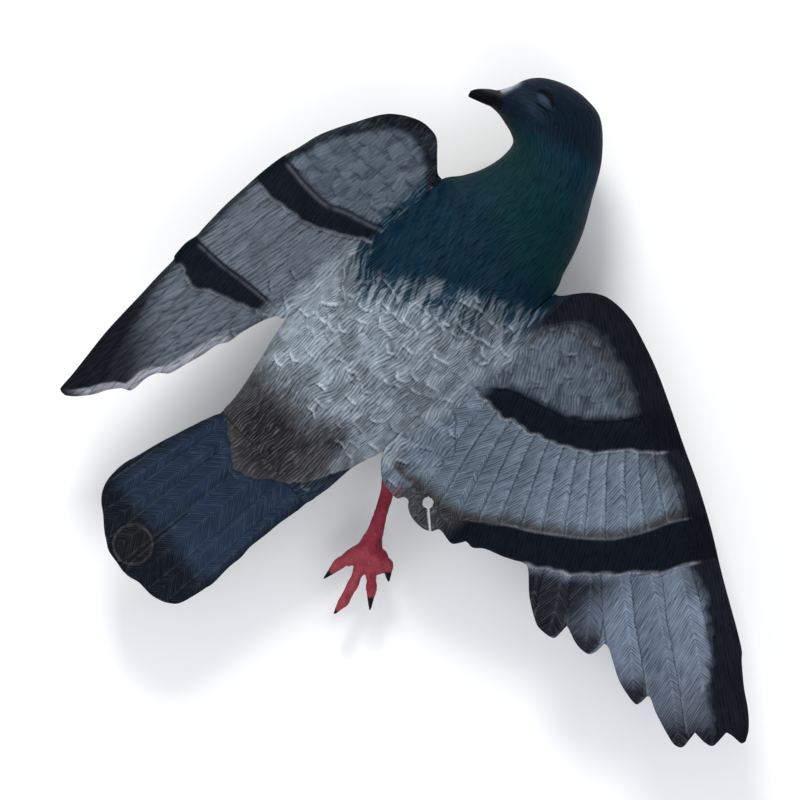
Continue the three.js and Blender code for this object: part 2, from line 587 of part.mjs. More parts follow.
// ---------------------------------------------------------------- assembly
const PAINT = {
  back: { color: 0x4a565f, roughness: 0.6 },
  belly: { color: 0x6b767e, roughness: 0.65 },
  wing: { color: 0x59646d, roughness: 0.6 },
  tail: { color: 0x2f3d4c, roughness: 0.6 },
  leg: { color: 0x7a2c3a, roughness: 0.55 },
  frame: { color: 0x2a2c2e, roughness: 0.5 },
  gear: { color: 0xd8d5cb, roughness: 0.45 },
  steel: { color: 0xb9bcc0, roughness: 0.3, metalness: 1 },
  cell: { color: 0x3b5a3c, roughness: 0.4 },
  lead: { color: 0x8c1f1c, roughness: 0.5 },
};
const decoy = new THREE.Group();
function add(name, made, paint) {
  const geometry = made.isBufferGeometry ? made : geometryOf(made);
  geometry.computeVertexNormals();
  const mesh = new THREE.Mesh(geometry, new THREE.MeshStandardMaterial(PAINT[paint]));
  mesh.name = name;
  decoy.add(mesh);
}
add("back_shell", backShell, "back");
add("belly_shell", bellyShell, "belly");
add("tail_fan", tailFan, "tail");
add("right_wing", rightWing, "wing");
add("left_wing", leftWing, "wing");
add("right_leg", rightLeg, "leg");
add("left_leg", leftLeg, "leg");
add("drive_frame", chassis(), "frame");
add("right_rocker", rightRocker, "gear");
add("left_rocker", leftRocker, "gear");
add("right_hinge_pin", hingePin(1), "steel");
add("left_hinge_pin", hingePin(-1), "steel");
add("drive_pinion", pinion(), "steel");
add("gearbox", gearbox, "frame");
add("motor", motor, "steel");
add("battery_tray", batteryTray, "frame");
cells.forEach((cell, k) => add(`battery_cell_${k + 1}`, cell, "cell"));
add("battery_contact_rear", contact(CELL.y0 - 0.8), "steel");
add("battery_contact_front", contact(CELL.y0 + CELL.length + 1.25), "steel");
add("battery_door", batteryDoor, "frame");
add("stake_socket", stakeSocket, "frame");
add("switch_body", switchBody, "frame");
add("switch_knob", switchKnob, "frame");
screwSeats.forEach((seat, k) => add(`shell_screw_${k + 1}`, shellScrew(seat), "steel"));
add("drive_screw_right", chassisScrew(1), "steel");
add("drive_screw_left", chassisScrew(-1), "steel");
wingScrews.forEach((place, k) => add(`wing_screw_${k + 1}`, wingScrew(...place, 0), "steel"));
add("battery_lead", batteryLead, "lead");
add("motor_lead", motorLead, "lead");

export default decoy;
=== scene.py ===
"""The looks of the motion wing pigeon decoy: a moulded, spray-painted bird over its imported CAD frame.

Shapes are worked out in millimetres in the part's own frame and turned into metres when a mesh is made.
"""
import json
import math

import bpy
import numpy as np
from mathutils import Matrix, Vector
from mathutils.kdtree import KDTree


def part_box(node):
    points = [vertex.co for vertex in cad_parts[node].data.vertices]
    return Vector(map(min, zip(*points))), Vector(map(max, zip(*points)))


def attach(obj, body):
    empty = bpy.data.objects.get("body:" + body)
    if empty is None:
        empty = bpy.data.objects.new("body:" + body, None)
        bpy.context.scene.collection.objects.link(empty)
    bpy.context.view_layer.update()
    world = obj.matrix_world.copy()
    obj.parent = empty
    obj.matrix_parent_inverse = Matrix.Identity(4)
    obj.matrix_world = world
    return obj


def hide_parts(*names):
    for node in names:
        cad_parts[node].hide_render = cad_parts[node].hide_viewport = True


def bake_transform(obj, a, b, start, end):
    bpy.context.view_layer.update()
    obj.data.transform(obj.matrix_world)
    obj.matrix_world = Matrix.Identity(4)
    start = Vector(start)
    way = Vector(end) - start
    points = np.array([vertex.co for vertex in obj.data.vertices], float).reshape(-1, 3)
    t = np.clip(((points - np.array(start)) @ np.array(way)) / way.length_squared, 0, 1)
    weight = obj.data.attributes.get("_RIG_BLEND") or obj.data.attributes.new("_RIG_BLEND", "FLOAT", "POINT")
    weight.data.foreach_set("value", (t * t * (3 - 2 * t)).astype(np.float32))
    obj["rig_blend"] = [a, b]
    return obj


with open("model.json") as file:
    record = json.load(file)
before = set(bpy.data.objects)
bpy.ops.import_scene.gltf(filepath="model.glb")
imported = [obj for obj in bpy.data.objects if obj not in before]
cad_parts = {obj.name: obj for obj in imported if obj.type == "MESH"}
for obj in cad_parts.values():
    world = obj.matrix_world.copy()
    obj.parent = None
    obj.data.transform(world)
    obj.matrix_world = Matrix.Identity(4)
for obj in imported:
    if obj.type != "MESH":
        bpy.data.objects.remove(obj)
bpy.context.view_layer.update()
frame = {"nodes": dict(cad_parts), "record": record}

MM = 0.001
SHEET = 3.0  # thickness of the wing and tail sheets, mm
EDGE = 1.6  # how far in from an outline a sheet's edge is rounded, mm


# ------------------------------------------------------------------ camera, light and floor
def look(obj, target, up):
    """Points an object's -Z at a target with its Y towards up."""
    back = (obj.location - Vector(target)).normalized()
    side = Vector(up).cross(back).normalized()
    obj.rotation_euler = Matrix((side, back.cross(side), back)).transposed().to_euler()


AIM = (0.0277, -0.0350, 0.05)  # what lies at the middle of the photo, metres
PHOTO_UP = (-0.743, 0.669, 0.0)
PHOTO_WIDTH = 0.4  # width of the photo at the bird, metres
DISTANCE = 3.0  # from the camera straight down to the bird, metres


def link(name, data):
    obj = bpy.data.objects.new(name, data)
    bpy.context.scene.collection.objects.link(obj)
    return obj


def make_camera():
    data = bpy.data.cameras.new("camera")
    data.sensor_width = 36.0
    data.lens = data.sensor_width * DISTANCE / PHOTO_WIDTH
    data.clip_end = 20.0
    camera = link("camera", data)
    camera.location = (AIM[0], AIM[1], AIM[2] + DISTANCE)
    look(camera, AIM, PHOTO_UP)
    bpy.context.scene.camera = camera


def area_light(name, location, size, watts, colour):
    data = bpy.data.lights.new(name, "AREA")
    data.energy = watts
    data.size = size
    data.color = colour
    light = link(name, data)
    light.location = location
    look(light, (0.03, -0.03, 0.04), (0.0, 0.0, 1.0))


def make_stage():
    """A pale world, three soft lights and a plain floor."""
    world = bpy.data.worlds.new("world")
    world.use_nodes = True
    sky = world.node_tree.nodes["Background"].inputs
    sky["Color"].default_value = (0.93, 0.95, 1.0, 1.0)
    sky["Strength"].default_value = 0.68
    bpy.context.scene.world = world
    bpy.context.scene.view_settings.view_transform = "Standard"
    bpy.context.scene.view_settings.look = "None"
    area_light("key", (-0.85, 0.6, 0.85), 0.4, 13.0, (1.0, 0.985, 0.96))
    area_light("fill", (0.9, -0.3, 1.1), 0.9, 5.0, (0.93, 0.96, 1.0))
    area_light("rim", (0.1, -1.1, 0.5), 0.7, 4.0, (1.0, 1.0, 1.0))
    mesh = bpy.data.meshes.new("floor")
    half = 3.0
    corners = [(-half, -half, 0), (half, -half, 0), (half, half, 0), (-half, half, 0)]
    mesh.from_pydata(corners, [], [(0, 1, 2, 3)])
    floor = link("floor", mesh)
    floor.location = (0, 0, -0.0002)  # just under the belly's rest
    material = bpy.data.materials.new("floor")
    material.use_nodes = True
    shader = material.node_tree.nodes["Principled BSDF"]
    shader.inputs["Base Color"].default_value = (0.9, 0.9, 0.9, 1.0)
    shader.inputs["Roughness"].default_value = 0.9
    mesh.materials.append(material)


# ------------------------------------------------------------------ numbers and curves
def srgb(r, g, b):
    values = np.array([r, g, b]) / 255.0
    return np.where(values <= 0.04045, values / 12.92, ((values + 0.055) / 1.055) ** 2.4)


def smooth(v):
    t = np.clip(v, 0.0, 1.0)
    return t * t * (3.0 - 2.0 * t)


def bell(v, width=1.0):
    """1 at 0, falling off over about the given width to both sides."""
    return np.exp(-((v / width) ** 2))


def hashed(i, j, seed):
    """An unordered but repeatable number from 0 to 1 for each whole i and j."""
    v = np.sin(i * 127.1 + j * 311.7 + seed * 74.7) * 43758.5453
    return v - np.floor(v)


def noise(x, y, seed=0):
    """Smooth value noise, 0 to 1, with one cell per unit."""
    i, j = np.floor(x), np.floor(y)
    fx, fy = smooth(x - i), smooth(y - j)
    low = hashed(i, j, seed) * (1 - fx) + hashed(i + 1, j, seed) * fx
    high = hashed(i, j + 1, seed) * (1 - fx) + hashed(i + 1, j + 1, seed) * fx
    return low * (1 - fy) + high * fy


def clouds(x, y, size, seed=0):
    """Three octaves of noise with features of about the given size in mm, 0 to 1."""
    total = noise(x / size, y / size, seed) * 0.55
    total += noise(x / size * 2.1, y / size * 2.1, seed + 1) * 0.3
    return total + noise(x / size * 4.3, y / size * 4.3, seed + 2) * 0.15


def spline(points, count):
    """A Catmull-Rom curve through points, resampled evenly by its length."""
    p = np.array(points, float)
    p = np.vstack([2 * p[0] - p[1], p, 2 * p[-1] - p[-2]])
    t = np.linspace(0, 1, 13)[:-1, None]
    parts = []
    for k in range(1, len(p) - 2):
        a, b, c, d = p[k - 1], p[k], p[k + 1], p[k + 2]
        square, cube = 2 * a - 5 * b + 4 * c - d, 3 * b - a - 3 * c + d
        parts.append(0.5 * (2 * b + (c - a) * t + square * t**2 + cube * t**3))
    dense = np.vstack(parts + [p[-2][None]])
    run = np.concatenate([[0], np.cumsum(np.hypot(*np.diff(dense[:, :2], axis=0).T))])
    at = np.linspace(0, run[-1], count)
    return np.stack([np.interp(at, run, dense[:, c]) for c in range(dense.shape[1])], axis=1)


def over(line, x, y):
    """Signed distance above a line that is a function of x."""
    xs, ys = spline(line, 120).T
    height = np.interp(x, xs, ys)
    slope = (np.interp(x + 2, xs, ys) - np.interp(x - 2, xs, ys)) / 4
    return (y - height) / np.sqrt(1 + slope**2)


def along_y(line, x, y):
    """Signed distance to the right of a line that is a function of y, given from low y to high y."""
    xs, ys = np.array(line, float).T
    return x - np.interp(y, ys, xs)


def axis(root, tip):
    """Length from a root to a tip, and the way there."""
    dx, dy = tip[0] - root[0], tip[1] - root[1]
    length = math.hypot(dx, dy)
    return length, dx / length, dy / length


# ------------------------------------------------------------------ feather relief
class Relief:
    """Feathers laid one over another on a surface: what shows at each point is the last one laid there."""

    def __init__(self, x, y, seed):
        self.x, self.y = x.ravel(), y.ravel()
        n = self.x.size
        self.height = np.zeros(n)
        self.rim = np.zeros(n)
        self.shaft = np.zeros(n)
        self.cross = self.x * 1.0
        self.run = self.y * 1.0
        self.cut = np.ones(n)
        self.tone = np.full(n, 0.5)
        self.tip = np.zeros(n)
        self.laid = 0
        self.seed = seed

    def lay(self, root, tip, left, right, bend=0.0, lift=0.55, thick=0.45, crown=0.35, ragged=0.6, vee=1.0):
        """Lays one feather with a quill, a raised edge and barbs, which stand in a V where vee is 1."""
        self.laid += 1
        (rx, ry), (tx, ty) = root, tip
        length, ax, ay = axis(root, tip)
        reach = max(left, right) + abs(bend)
        near = np.flatnonzero(
            (self.x > min(rx, tx) - reach)
            & (self.x < max(rx, tx) + reach)
            & (self.y > min(ry, ty) - reach)
            & (self.y < max(ry, ty) + reach)
        )
        x, y = self.x[near] - rx, self.y[near] - ry
        a = x * ax + y * ay
        t = a / length
        b = -x * ay + y * ax - bend * 4 * t * (1 - t)
        half = np.where(b > 0, left, right)
        tip_from = 1 - min(0.6, 1.15 * max(left, right) / length)
        narrow = np.clip((t - tip_from) / (1 - tip_from), 0, 1)
        wobble = ragged * (clouds(self.x[near], self.y[near], 2.2, self.laid) - 0.5)
        width = half * np.sqrt(np.maximum(0, 1 - narrow**2.2)) * (0.8 + 0.2 * smooth(t / 0.3)) + wobble
        inside = (t > 0) & (t < 1) & (np.abs(b) < width)
        near, t, b, half, width = near[inside], t[inside], b[inside], half[inside], width[inside]
        edge = width - np.abs(b)
        end = (1 - t) * length
        edge = np.minimum(edge, end + 0.4)
        barb = vee * (t * length - np.abs(b) * 1.15) + (1 - vee) * b
        quill = bell(b, 0.5) * smooth(end / (0.25 * length))
        barbs = np.sin(barb * 3.6 + 2.5 * noise(self.x[near] / 4, self.y[near] / 4, self.laid))
        split = noise(barb / 1.9, self.laid * 7.0 + np.sign(b) * 3.0, 5)
        height = lift * t + thick * smooth(edge / 0.8) + crown * (1 - (b / (half + 1e-6)) ** 2)
        fine = 0.3 * quill + 0.10 * vee * barbs * smooth(edge / 1.5)
        height += fine - 0.16 * vee * smooth((split - 0.72) / 0.1)
        self.height[near] = height
        # The raised edge towards the feather's end, which the paint material lights with a painted highlight.
        self.rim[near] = bell(edge - 0.55, 0.5) * smooth((t - 0.35) / 0.4)
        self.shaft[near] = quill
        self.cross[near] = barb
        along = vee * np.abs(b) + (1 - vee) * t * length
        self.run[near] = along + 31.0 * hashed(self.laid * 1.0, 2.0, self.seed)
        # One side of each feather is painted lighter and the other darker, as painted shade, on top of the
        # feather's own tone.
        lean = np.where(b > 0, b / left, b / right)
        self.tone[near] = 0.28 + 0.44 * hashed(self.laid * 1.0, 1.0, self.seed) + 0.3 * lean
        self.tip[near] = np.exp(-end / 13.0)

    def band(self, amount, heading, height=1.0):
        """Smooths a painted bar into one raised strip, with fine strokes along its heading."""
        dx, dy = math.cos(heading), math.sin(heading)
        strokes = noise((self.x * dy - self.y * dx) / 1.1, (self.x * dx + self.y * dy) / 7.0, self.seed)
        self.height += (height + 0.3 * (strokes - 0.5) - self.height) * amount
        for field in (self.rim, self.shaft, self.tip):
            field *= 1 - amount
        inside = amount > 0.5
        self.cross[inside] = (self.x * dy - self.y * dx)[inside]
        self.run[inside] = (self.x * dx + self.y * dy)[inside]
        self.tone += (0.5 - self.tone) * amount

    def ridge(self, distance, amount, size=0.5, width=0.65):
        """Raises a thin ridge where distance is 0, with a groove on its negative side."""
        self.height += size * amount * bell(distance, width)
        self.height -= 0.8 * size * amount * bell(distance + 2.1 * width, width)

    def wisp(self, root, tip, width, step, crest, seed):
        """Lays a soft tuft: strands along it, sides that melt into what lies below and a ragged end."""
        (rx, ry), (tx, ty) = root, tip
        length, ax, ay = axis(root, tip)
        reach = length / 2 + width
        mx, my = (rx + tx) / 2, (ry + ty) / 2
        near = np.flatnonzero((np.abs(self.x - mx) < reach) & (np.abs(self.y - my) < reach))
        x, y = self.x[near] - rx, self.y[near] - ry
        a = x * ax + y * ay
        b = -x * ay + y * ax + 2.2 * (noise(a / 6.0, seed * 91.0, 3) - 0.5)
        end = length - a - 2.6 * noise(b / 3.6, seed * 57.0, 4) - 0.3 * noise(b / 0.9, seed * 23.0, 5)
        end -= 0.06 * b * b
        side = width - np.abs(b)
        past = (a > 0) & (end > -1.3) & (end <= 0) & (side > 0)
        shade = (0.45 + 0.45 * crest) * step / 0.45 * smooth(side[past] / (0.5 * width))
        self.height[near[past]] -= shade * smooth(1 + end[past] / 1.3)
        inside = (a > 0) & (end > 0) & (side > 0)
        near, a, b, end, side = near[inside], a[inside], b[inside], end[inside], side[inside]
        melt = smooth(side / (0.5 * width)) * smooth(a / (0.4 * length))
        strand = noise(b / 0.8, a / 8.0 + seed * 13.0, 6)
        height = step * (0.6 * a / length + smooth(end / 0.8)) + 0.55 * (strand - 0.5) + 0.35
        height += 0.5 * crest * bell(end - 0.6, 0.6)
        self.height[near] += (height - self.height[near]) * melt
        for field in (self.shaft, self.tip, self.rim):
            field[near] *= 1 - melt
        # The crest at the tuft's end gets a painted highlight.
        self.rim[near] += 1.1 * crest * bell(end - 0.8, 0.8) * smooth(side / (0.6 * width))
        self.tone[near] += (0.15 + 0.7 * hashed(seed * 77.0, 1.0, 8) - self.tone[near]) * melt

    def tufts(self, xs, ys, gap, width, length, fan=0.0, lean=0.0, step=0.45, share=0.3, keep=None):
        """Lays staggered soft tufts over a rectangle, from its low y up, a share of them with crests under a
        painted highlight.
        """
        across, down = gap
        for r in range(int((ys[1] - ys[0]) / down) + 1):
            for c in range(int((xs[1] - xs[0]) / across) + 1):
                jx, jy, js = (hashed(c * 1.0 + ys[0], r * 1.0 + xs[0], k) - 0.5 for k in (31, 32, 33))
                x = xs[0] + (c + 0.5 * (r % 2) + 0.7 * jx) * across
                y = ys[0] + (r + 0.9 * jy) * down
                if keep is not None and not keep(x, y):
                    continue
                turn = lean + fan * (2 * (x - xs[0]) / (xs[1] - xs[0]) - 1) + 0.7 * js
                half = length * (1 + 0.5 * jx) / 2
                dx, dy = half * math.sin(turn), -half * math.cos(turn)
                crest = float(smooth((share - (jy + 0.5)) / 0.12)) * (0.9 + 0.5 * js)
                wide = width * (1 + 0.6 * jy)
                self.wisp((x - dx, y - dy), (x + dx, y + dy), wide, step, crest, jx + js + 1.3)

    def comb(self, heading, where):
        """Makes the fine strokes run along a heading, measured from -Y towards +X, with slow waves."""
        bend = 3.6 * (noise(self.x / 11, self.y / 11, 95) + 0.4 * noise(self.x / 5, self.y / 5, 96))
        cross = self.x * math.cos(heading) + self.y * math.sin(heading) + bend
        self.cross[where] = cross[where]
        self.run[where] = (self.x * math.sin(heading) - self.y * math.cos(heading))[where]

    def crest(self, points):
        """Raises one wavy ridge along points that run towards +x, with a painted highlight along it and a
        groove below it that the paint darkens as painted shade.
        """
        size = 1.3
        px, py = np.array(points).T
        near = np.flatnonzero((self.x > px[0]) & (self.x < px[-1]) & (np.abs(self.y - py.mean()) < 14))
        x, y = self.x[near], self.y[near]
        line = np.interp(x, px, py) + 2.4 * (noise(x / 3.0, py[0], 7) - 0.5)
        away = y - line
        fade = smooth((x - px[0]) / 1.5) * smooth((px[-1] - x) / 1.5)
        self.height[near] += size * fade * (0.6 * bell(away, 0.55) + 0.35 * smooth(1 - away / 5) * (away > 0))
        self.height[near] -= 0.6 * size * fade * bell(away + 1.3, 0.8)
        # The ridge's painted highlight.
        self.rim[near] = np.maximum(self.rim[near], 1.3 * fade * bell(away, 0.75))

    def row(self, tips, roots, count, left, right, **options):
        """Lays one row of feathers between two curves, given in the same order."""
        tips, roots = spline(tips, count), spline(roots, count)
        for k in range(count):
            scale = 1 + 0.16 * (hashed(k * 1.0, self.laid * 1.0, self.seed) - 0.5)
            self.lay(roots[k], tips[k], left * scale, right * scale, **options)

    def scatter(self, x0, x1, y0, y1, across, down, width, length, keep=None, **options):
        """Lays staggered rows of small feathers that point to -Y, from the lowest row up."""
        for r in range(int((y1 - y0) / down) + 1):
            for c in range(int((x1 - x0) / across) + 1):
                jx = hashed(c * 1.0, r * 1.0, self.seed) - 0.5
                jy = hashed(c * 1.0, r * 1.0, self.seed + 9) - 0.5
                x = x0 + (c + 0.5 * (r % 2)) * across + jx * across * 0.45
                y = y0 + r * down + jy * down * 0.7
                if keep is not None and not keep(x, y):
                    continue
                lean, size = 0.35 * jx, 1 + 0.35 * jy
                dx, dy = math.sin(lean) * length * size / 2, -math.cos(lean) * length * size / 2
                self.lay((x - dx, y - dy), (x + dx, y + dy), width * size, width * size, **options)


# ------------------------------------------------------------------ meshes
def set_values(mesh, values):
    """Stores one value or colour per vertex for each name, and shades the mesh smooth."""
    for key, data in values.items():
        data = np.asarray(data, float)
        if data.ndim == 2:
            layer = mesh.attributes.new(key, "FLOAT_COLOR", "POINT")
            layer.data.foreach_set("color", np.hstack([data, np.ones((len(data), 1))]).ravel())
        else:
            layer = mesh.attributes.new(key, "FLOAT", "POINT")
            layer.data.foreach_set("value", data)
    mesh.polygons.foreach_set("use_smooth", np.ones(len(mesh.polygons), bool))


def mesh_object(name, vertices, faces, values):
    """A smooth mesh in metres from millimetres, with one value or colour per vertex for each name."""
    mesh = bpy.data.meshes.new(name)
    mesh.from_pydata((np.asarray(vertices) * MM).tolist(), [], faces)
    set_values(mesh, values)
    mesh.validate()
    return link(name, mesh)


def grid_faces(rows, columns, start, flip):
    """Quads of a grid of vertices that begins at start, row by row."""
    i, j = np.meshgrid(np.arange(rows - 1), np.arange(columns - 1), indexing="ij")
    a = start + i * columns + j
    quads = np.stack([a, a + 1, a + columns + 1, a + columns], axis=-1).reshape(-1, 4)
    return quads[:, ::-1] if flip else quads


def slab(name, top, bottom, values):
    """Closes two grids with the same columns into one skin. Each grid is rows x columns x 3.

    Rows run so that the top grid's faces point up. The grids may have different numbers of rows.
    """
    (rt, columns, _), rb = top.shape, bottom.shape[0]
    start = rt * columns
    vertices = np.vstack([top.reshape(-1, 3), bottom.reshape(-1, 3)])
    quads = [grid_faces(rt, columns, 0, False), grid_faces(rb, columns, start, True)]
    j = np.arange(columns - 1)
    quads.append(np.stack([j + 1, j, start + j, start + j + 1], axis=-1))
    last_t, last_b = (rt - 1) * columns, start + (rb - 1) * columns
    quads.append(np.stack([last_t + j, last_t + j + 1, last_b + j + 1, last_b + j], axis=-1))
    faces = np.vstack(quads).tolist()
    up, down = np.arange(rt) * columns, start + np.arange(rb) * columns
    faces.append(np.concatenate([up, down[::-1]]).tolist())
    faces.append(np.concatenate([(up + columns - 1)[::-1], down + columns - 1]).tolist())
    return mesh_object(name, vertices, faces, values)


def ruled(lead, trail, rows, columns, crowd=0.0):
    """x and y of a grid that runs from one curve (last row) to another (first row)."""
    a, b = spline(lead, columns), spline(trail, columns)
    f = np.linspace(0, 1, rows)
    f = (1 - crowd) * f + crowd * smooth(f)
    xy = b[None] * (1 - f[:, None, None]) + a[None] * f[:, None, None]
    span = np.hypot(*(a - b).T)[None]
    edge = np.minimum(f[:, None] * span, (1 - f[:, None]) * span)
    return xy[..., 0], xy[..., 1], edge


def apply(obj, modifier):
    bpy.context.view_layer.objects.active = obj
    bpy.ops.object.modifier_apply(modifier=modifier.name)


def cut(obj, cutter):
    """Cuts one closed mesh out of another and removes the cutter."""
    modifier = obj.modifiers.new("cut", "BOOLEAN")
    modifier.operation = "DIFFERENCE"
    modifier.solver = "EXACT"
    modifier.object = cutter
    apply(obj, modifier)
    bpy.data.objects.remove(cutter)


def heal(mesh):
    """Gives the vertices that a cut made the paint of the nearest vertex of the skin."""
    count = len(mesh.vertices)
    paint = np.empty(count * 4)
    mesh.attributes["paint"].data.foreach_get("color", paint)
    old = paint[3::4] > 0.99
    tree = KDTree(count)
    for k in np.flatnonzero(old):
        tree.insert(mesh.vertices[k].co, k)
    tree.balance()
    new = np.flatnonzero(~old)
    source = [tree.find(mesh.vertices[k].co)[1] for k in new]
    for layer in mesh.attributes:
        if layer.domain != "POINT" or layer.data_type not in ("FLOAT", "FLOAT_COLOR"):
            continue
        key, width = ("color", 4) if layer.data_type == "FLOAT_COLOR" else ("value", 1)
        data = np.empty(count * width)
        layer.data.foreach_get(key, data)
        data = data.reshape(count, width)
        data[new] = data[source]
        layer.data.foreach_set(key, data.ravel())


def prism(name, outline, z0, z1):
    """An upright prism, as a cutter."""
    n = len(outline)
    vertices = [(x, y, z) for z in (z0, z1) for x, y in outline]
    faces = [tuple(range(n))[::-1], tuple(range(n, 2 * n))]
    faces += [(k, (k + 1) % n, n + (k + 1) % n, n + k) for k in range(n)]
    return mesh_object(name, np.array(vertices, float), faces, {})


def circle(x, y, r, sides=40):
    angles = np.linspace(0, 2 * math.pi, sides, endpoint=False)
    return [(x + r * math.cos(a), y + r * math.sin(a)) for a in angles]


def rectangle(x0, x1, y0, y1):
    return [(x0, y0), (x1, y0), (x1, y1), (x0, y1)]


# ------------------------------------------------------------------ colours
NECK_GREEN, NECK_BLUE = srgb(5, 40, 43), srgb(4, 35, 51)
CROWN, BEAK, CERE = srgb(12, 25, 38), srgb(9, 9, 14), srgb(168, 168, 176)
BACK, RUMP, RUMP_DARK = srgb(121, 131, 139), srgb(66, 66, 68), srgb(34, 31, 34)
BELLY = srgb(104, 112, 120)
TAIL_BLUE, TAIL_MID, TAIL_DARK = srgb(36, 50, 72), srgb(29, 40, 54), srgb(16, 18, 22)
COVERT, MIDDLE, BAR = srgb(78, 88, 98), srgb(96, 108, 121), srgb(5, 12, 22)
EDGE_DARK, FLIGHT, FLIGHT_TIP = srgb(14, 16, 24), srgb(109, 121, 138), srgb(24, 23, 31)
FLIGHT_SHADE, LEFT_MIDDLE, LEFT_FLIGHT = srgb(82, 84, 94), srgb(90, 98, 107), srgb(84, 91, 100)
BROWN, FLANK, UNDER = srgb(52, 48, 48), srgb(128, 134, 140), srgb(118, 124, 130)
RIM_PALE, TRAIL_PALE, RING_DARK = srgb(140, 144, 152), srgb(150, 152, 160), srgb(24, 25, 28)
NECK_SHADE, CHEEK, LENS = srgb(14, 38, 42), srgb(44, 60, 76), srgb(56, 70, 86)
LID, BILL_EDGE = srgb(8, 9, 12), srgb(70, 72, 82)
LEG_RED, FOOT_RED, CLAW = srgb(122, 42, 56), srgb(132, 58, 66), srgb(24, 20, 24)


def fill(count, colour):
    return np.tile(colour, (count, 1))


def spray(paint, colour, amount):
    """Sprays a colour over a paint array, in place, where amount is over 0."""
    amount = np.clip(amount, 0, 1)[:, None]
    paint[:] = paint * (1 - amount) + np.asarray(colour) * amount


def soft(distance, width, x, y, seed, rough=1.5):
    """1 inside, 0 outside, over a width in mm with an uneven sprayed edge."""
    return smooth((distance + rough * (clouds(x, y, 5.0, seed) - 0.5)) / width + 0.5)


# ------------------------------------------------------------------ materials
class Finish:
    """A material and short names for the nodes that it is made of."""

    def __init__(self, name):
        self.material = bpy.data.materials.new(name)
        self.material.use_nodes = True
        self.tree = self.material.node_tree
        self.inputs = self.tree.nodes["Principled BSDF"].inputs

    def put(self, value, socket):
        """Links an output to a socket, or sets the socket to a number or a colour."""
        if isinstance(value, bpy.types.NodeSocket):
            self.tree.links.new(value, socket)
        else:
            socket.default_value = (*value, 1.0) if isinstance(value, tuple) else value

    def make(self, kind, output, **inputs):
        """Makes a node, feeds the inputs that are named with _ for a space, and gives one output."""
        made = self.tree.nodes.new("ShaderNode" + kind)
        for key, value in inputs.items():
            self.put(value, made.inputs[key.replace("_", " ")])
        return made.outputs[output]

    def maths(self, operation, a, b=0.0, clamp=False):
        made = self.tree.nodes.new("ShaderNodeMath")
        made.operation = operation
        made.use_clamp = clamp
        self.put(a, made.inputs[0])
        self.put(b, made.inputs[1])
        return made.outputs[0]

    def add(self, a, b):
        return self.maths("ADD", a, b)

    def times(self, a, b, clamp=False):
        return self.maths("MULTIPLY", a, b, clamp)

    def mix(self, amount, a, b, blend="MIX"):
        made = self.tree.nodes.new("ShaderNodeMix")
        made.data_type = "RGBA"
        made.blend_type = blend
        for index, value in ((0, amount), (6, a), (7, b)):
            self.put(value, made.inputs[index])
        return made.outputs[2]

    def here(self):
        return self.make("TexCoord", "Object")

    def noise(self, scale, detail=4.0, rough=0.6):
        return self.make("TexNoise", "Fac", Scale=scale, Detail=detail, Roughness=rough, Vector=self.here())

    def ramp(self, value, low, high):
        return self.make("MapRange", "Result", From_Min=low, From_Max=high, Value=value)

    def attribute(self, name, output="Fac"):
        made = self.tree.nodes.new("ShaderNodeAttribute")
        made.attribute_name = name
        return made.outputs[output]

    def strokes(self, cross, run, across, along, detail):
        """Noise drawn out into strokes: cross counts over them and run goes along them, both in mm."""
        place = self.make("CombineXYZ", 0, X=self.times(cross, across), Y=self.times(run, along))
        return self.make("TexNoise", "Fac", Scale=1.0, Detail=detail, Roughness=0.55, Vector=place)

    def bump(self, height, strength, distance):
        normal = self.make("Bump", "Normal", Strength=strength, Distance=distance, Height=height)
        self.put(normal, self.inputs["Normal"])


def painted_feathers():
    """Sprayed paint with fine barbs, painted highlights on the raised rims, quills and strokes, and painted
    shade in the grooves and the low parts of the strokes.
    """
    s = Finish("painted_feathers")
    paint = s.attribute("paint", "Color")
    rim, shaft, groove, cross, run, highlight, cut_depth = [s.attribute(key) for key in SKIN_KEYS[1:]]
    brush, speck, mottle = s.noise(260.0, 5.0, 0.65), s.noise(2200.0, 3.0), s.noise(90.0, 5.0)

    strokes, hairs = s.strokes(cross, run, 0.8, 0.13, 2.0), s.strokes(cross, run, 1.9, 0.3, 3.0)
    phase = s.add(s.times(cross, 3.6), s.times(strokes, 8.0))
    relief = s.add(s.times(strokes, 0.6), s.times(hairs, 0.4))
    relief = s.add(relief, s.times(s.maths("SINE", phase), 0.09))

    colour = s.mix(s.ramp(mottle, 0.35, 0.72), paint, (0.74, 0.74, 0.74), "MULTIPLY")
    # Painted shade: darker in the low parts of the strokes and, below that, darker in the sculpted grooves.
    gouge = s.times(s.ramp(relief, 0.47, 0.33), cut_depth, clamp=True)
    colour = s.mix(gouge, colour, (0.20, 0.23, 0.30), "MULTIPLY")
    colour = s.mix(s.times(groove, 0.9, clamp=True), colour, (0.2, 0.21, 0.25), "MULTIPLY")
    # Painted highlights: lighter on the high parts of the strokes and, broken up by noise, on the raised rims
    # and quills, as strong as each vertex's highlight value.
    crest = s.times(s.ramp(relief, 0.53, 0.68), 0.6)
    edges = s.times(s.add(s.times(rim, 0.8), s.times(shaft, 0.35)), s.ramp(brush, 0.38, 0.52))
    light = s.times(s.add(edges, crest), highlight, clamp=True)
    bright = s.mix(1.0, s.mix(1.0, paint, (0.05, 0.053, 0.054), "ADD"), (1.62, 1.62, 1.62), "MULTIPLY")
    colour = s.mix(light, colour, bright)
    colour = s.mix(s.ramp(speck, 0.60, 0.74), colour, (0.72, 0.72, 0.74), "MULTIPLY")
    s.put(colour, s.inputs["Base Color"])
    s.put(s.add(s.times(mottle, 0.2), 0.38), s.inputs["Roughness"])
    s.put(0.03, s.inputs["Specular IOR Level"])
    height = s.add(s.times(relief, cut_depth), s.times(speck, 0.06))
    s.bump(s.add(height, s.times(brush, 0.12)), 0.85, 0.0011)
    return s.material


